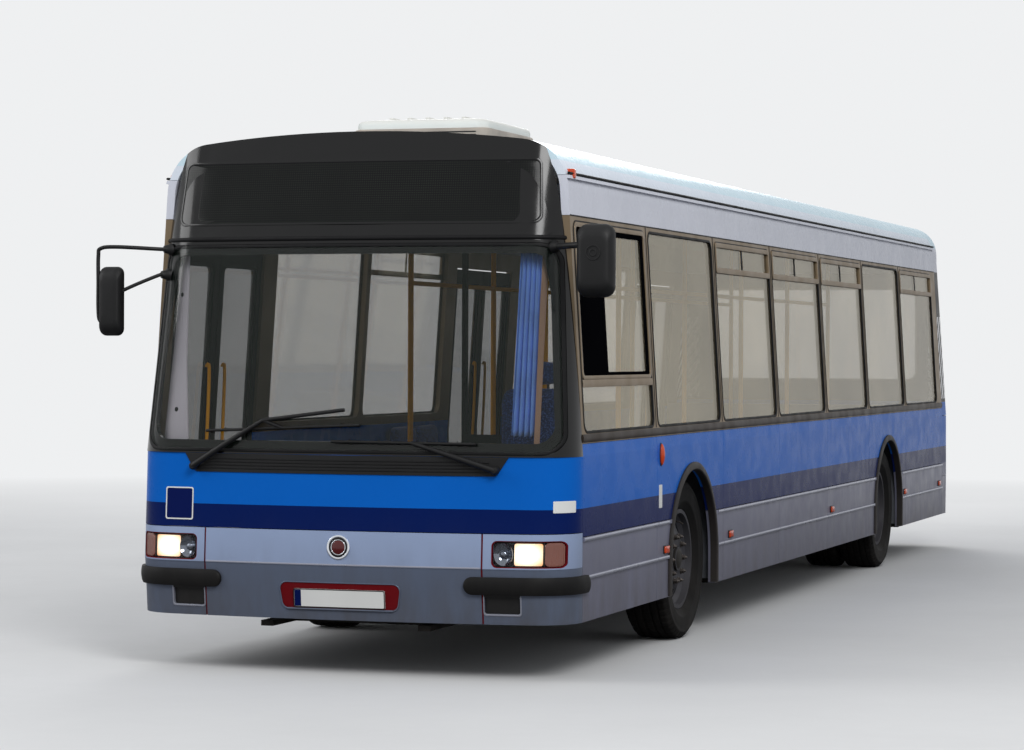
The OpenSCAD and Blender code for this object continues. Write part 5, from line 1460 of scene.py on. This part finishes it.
class BUS_OT_stage(bpy.types.Operator):
    """Lays the floor, sets the lamps, the sky and the camera"""

    bl_idname = "bus.stage"
    bl_label = "Stage"

    def lamp(self, name, place, look, power, size):
        """Soft round lamp at a place, turned to what it looks at."""
        light = bpy.data.lights.new(name, "AREA")
        light.energy, light.shape, light.size = power, "DISK", size
        obj = bpy.data.objects.new(name, light)
        obj.location = place
        obj.rotation_euler = (Vector(look) - Vector(place)).to_track_quat("-Z", "Y").to_euler()
        bpy.context.scene.collection.objects.link(obj)

    def execute(self, context):
        scene = context.scene
        scene.view_settings.view_transform = "Standard"
        pale = (0.86, 0.87, 0.88, 1.0)
        f = Finish("studio_floor")
        path = f.add("ShaderNodeLightPath")
        f.colour(f.mix(path.outputs["Is Camera Ray"], (0.16, 0.16, 0.165, 1.0),
                       f.clouds((0.62, 0.62, 0.62, 1.0), 0.03, 0.6)))
        f.rough(0.75, 0.9)
        glow = f.add("ShaderNodeEmission")
        glow.inputs[0].default_value = pale
        seen = f.sum("MAXIMUM", path.outputs["Is Camera Ray"],
                     f.sum("MAXIMUM", path.outputs["Is Glossy Ray"],
                           path.outputs["Is Transmission Ray"]))
        far = f.sum("SQRT", f.sum("ADD", f.sum("MULTIPLY", f.x, f.x), f.sum("MULTIPLY", f.y, f.y)))
        share = f.sum("MULTIPLY", seen, f.span(far, 9.0, 20.0))
        mix = f.add("ShaderNodeMixShader")
        f.join(share, mix.inputs[0])
        f.join(f.shader.outputs[0], mix.inputs[1])
        f.join(glow.outputs[0], mix.inputs[2])
        f.join(mix.outputs[0], f.out.inputs[0])
        t = np.linspace(0, 2 * np.pi, 96, endpoint=False)
        r = np.array([0, 4, 8, 12, 16, 22, 30, 45, 70, 120.0])
        p = np.stack([r[:, None] * np.cos(t), r[:, None] * np.sin(t), np.zeros((10, 96))], -1)
        verts, quads = grid(p, wrap_v=True)
        mesh = bpy.data.meshes.new("studio_floor")
        mesh.from_pydata(verts.tolist(), [], quads.tolist())
        floor = bpy.data.objects.new("studio_floor", mesh)
        mesh.materials.append(f.mat)
        scene.collection.objects.link(floor)
        self.sky(scene, pale)
        s = settings()
        self.lamp("key", (9, -16, 11), (0, -2, 1), s.light, 7)
        self.lamp("fill", (-12, -10, 8), (0, 0, 1), s.light * 0.45, 8)
        self.lamp("back", (-4, 14, 9), (0, 2, 1), s.light * 0.45, 8)
        self.camera(scene)
        return {"FINISHED"}

    def sky(self, scene, pale):
        """Soft sky for the light, and the plain pale one that the camera, gloss and glass show."""
        world = bpy.data.worlds.new("studio_sky")
        scene.world = world
        world.use_nodes = True
        tree = world.node_tree
        tree.nodes.clear()
        out = tree.nodes.new("ShaderNodeOutputWorld")
        lit, seen = tree.nodes.new("ShaderNodeBackground"), tree.nodes.new("ShaderNodeBackground")
        lit.inputs[0].default_value, lit.inputs[1].default_value = (0.93, 0.96, 1.0, 1.0), 0.62
        seen.inputs[0].default_value, seen.inputs[1].default_value = pale, 1.0
        path = tree.nodes.new("ShaderNodeLightPath")
        seen_by = path.outputs["Is Camera Ray"]
        for ray in ("Is Glossy Ray", "Is Transmission Ray"):
            either = tree.nodes.new("ShaderNodeMath")
            either.operation = "MAXIMUM"
            tree.links.new(seen_by, either.inputs[0])
            tree.links.new(path.outputs[ray], either.inputs[1])
            seen_by = either.outputs[0]
        mix = tree.nodes.new("ShaderNodeMixShader")
        tree.links.new(seen_by, mix.inputs[0])
        tree.links.new(lit.outputs[0], mix.inputs[1])
        tree.links.new(seen.outputs[0], mix.inputs[2])
        tree.links.new(mix.outputs[0], out.inputs[0])

    def camera(self, scene):
        """Camera at the photograph's place: looking along forward, turned by roll about it."""
        data = bpy.data.cameras.new("camera")
        data.sensor_width, data.lens = 36.0, 102.8
        data.clip_start, data.clip_end = 0.1, 500
        cam = bpy.data.objects.new("camera", data)
        forward = Vector((-0.3095, 0.951, -0.008)).normalized()
        right = forward.cross(Vector((0, 0, 1))).normalized()
        up = right.cross(forward)
        roll = 0.24 * DEG
        r2 = math.cos(roll) * right + math.sin(roll) * up
        u2 = -math.sin(roll) * right + math.cos(roll) * up
        turned = Matrix((r2, u2, -forward)).transposed().to_4x4()
        cam.matrix_world = Matrix.Translation((5.679, -20.472, 1.734)) @ turned
        scene.collection.objects.link(cam)
        scene.camera = cam


class BUS_PT_panel(bpy.types.Panel):
    """Lists the bus's settings and the steps that dress it"""

    bl_idname = "BUS_PT_panel"
    bl_label = "Airport bus"
    bl_space_type = "VIEW_3D"
    bl_region_type = "UI"
    bl_category = "Bus"

    def draw(self, context):
        for name in BusSettings.__annotations__:
            self.layout.prop(context.scene.bus, name)
        for step in STEPS:
            self.layout.operator(step.bl_idname)


STEPS = (BUS_OT_finishes, BUS_OT_stage, BUS_OT_tyres, BUS_OT_wheel_trim, BUS_OT_front_trim,
         BUS_OT_headlamps, BUS_OT_screen, BUS_OT_wipers, BUS_OT_mirrors, BUS_OT_side_trim,
         BUS_OT_windows, BUS_OT_doors, BUS_OT_roof_trim, BUS_OT_rear_trim, BUS_OT_cabin)


def register():
    """Makes the settings, the steps and the panel known to Blender."""
    for cls in (BusSettings, *STEPS, BUS_PT_panel):
        bpy.utils.register_class(cls)
    bpy.types.Scene.bus = PointerProperty(type=BusSettings)


def unregister():
    """Takes them away again."""
    del bpy.types.Scene.bus
    for cls in (BUS_PT_panel, *STEPS[::-1], BusSettings):
        bpy.utils.unregister_class(cls)


def main():
    register()
    for step in STEPS:
        group, name = step.bl_idname.split(".")
        if getattr(getattr(bpy.ops, group), name)() != {"FINISHED"}:
            raise RuntimeError(f"{step.bl_label} didn't finish")


if __name__ == "__main__":
    main()
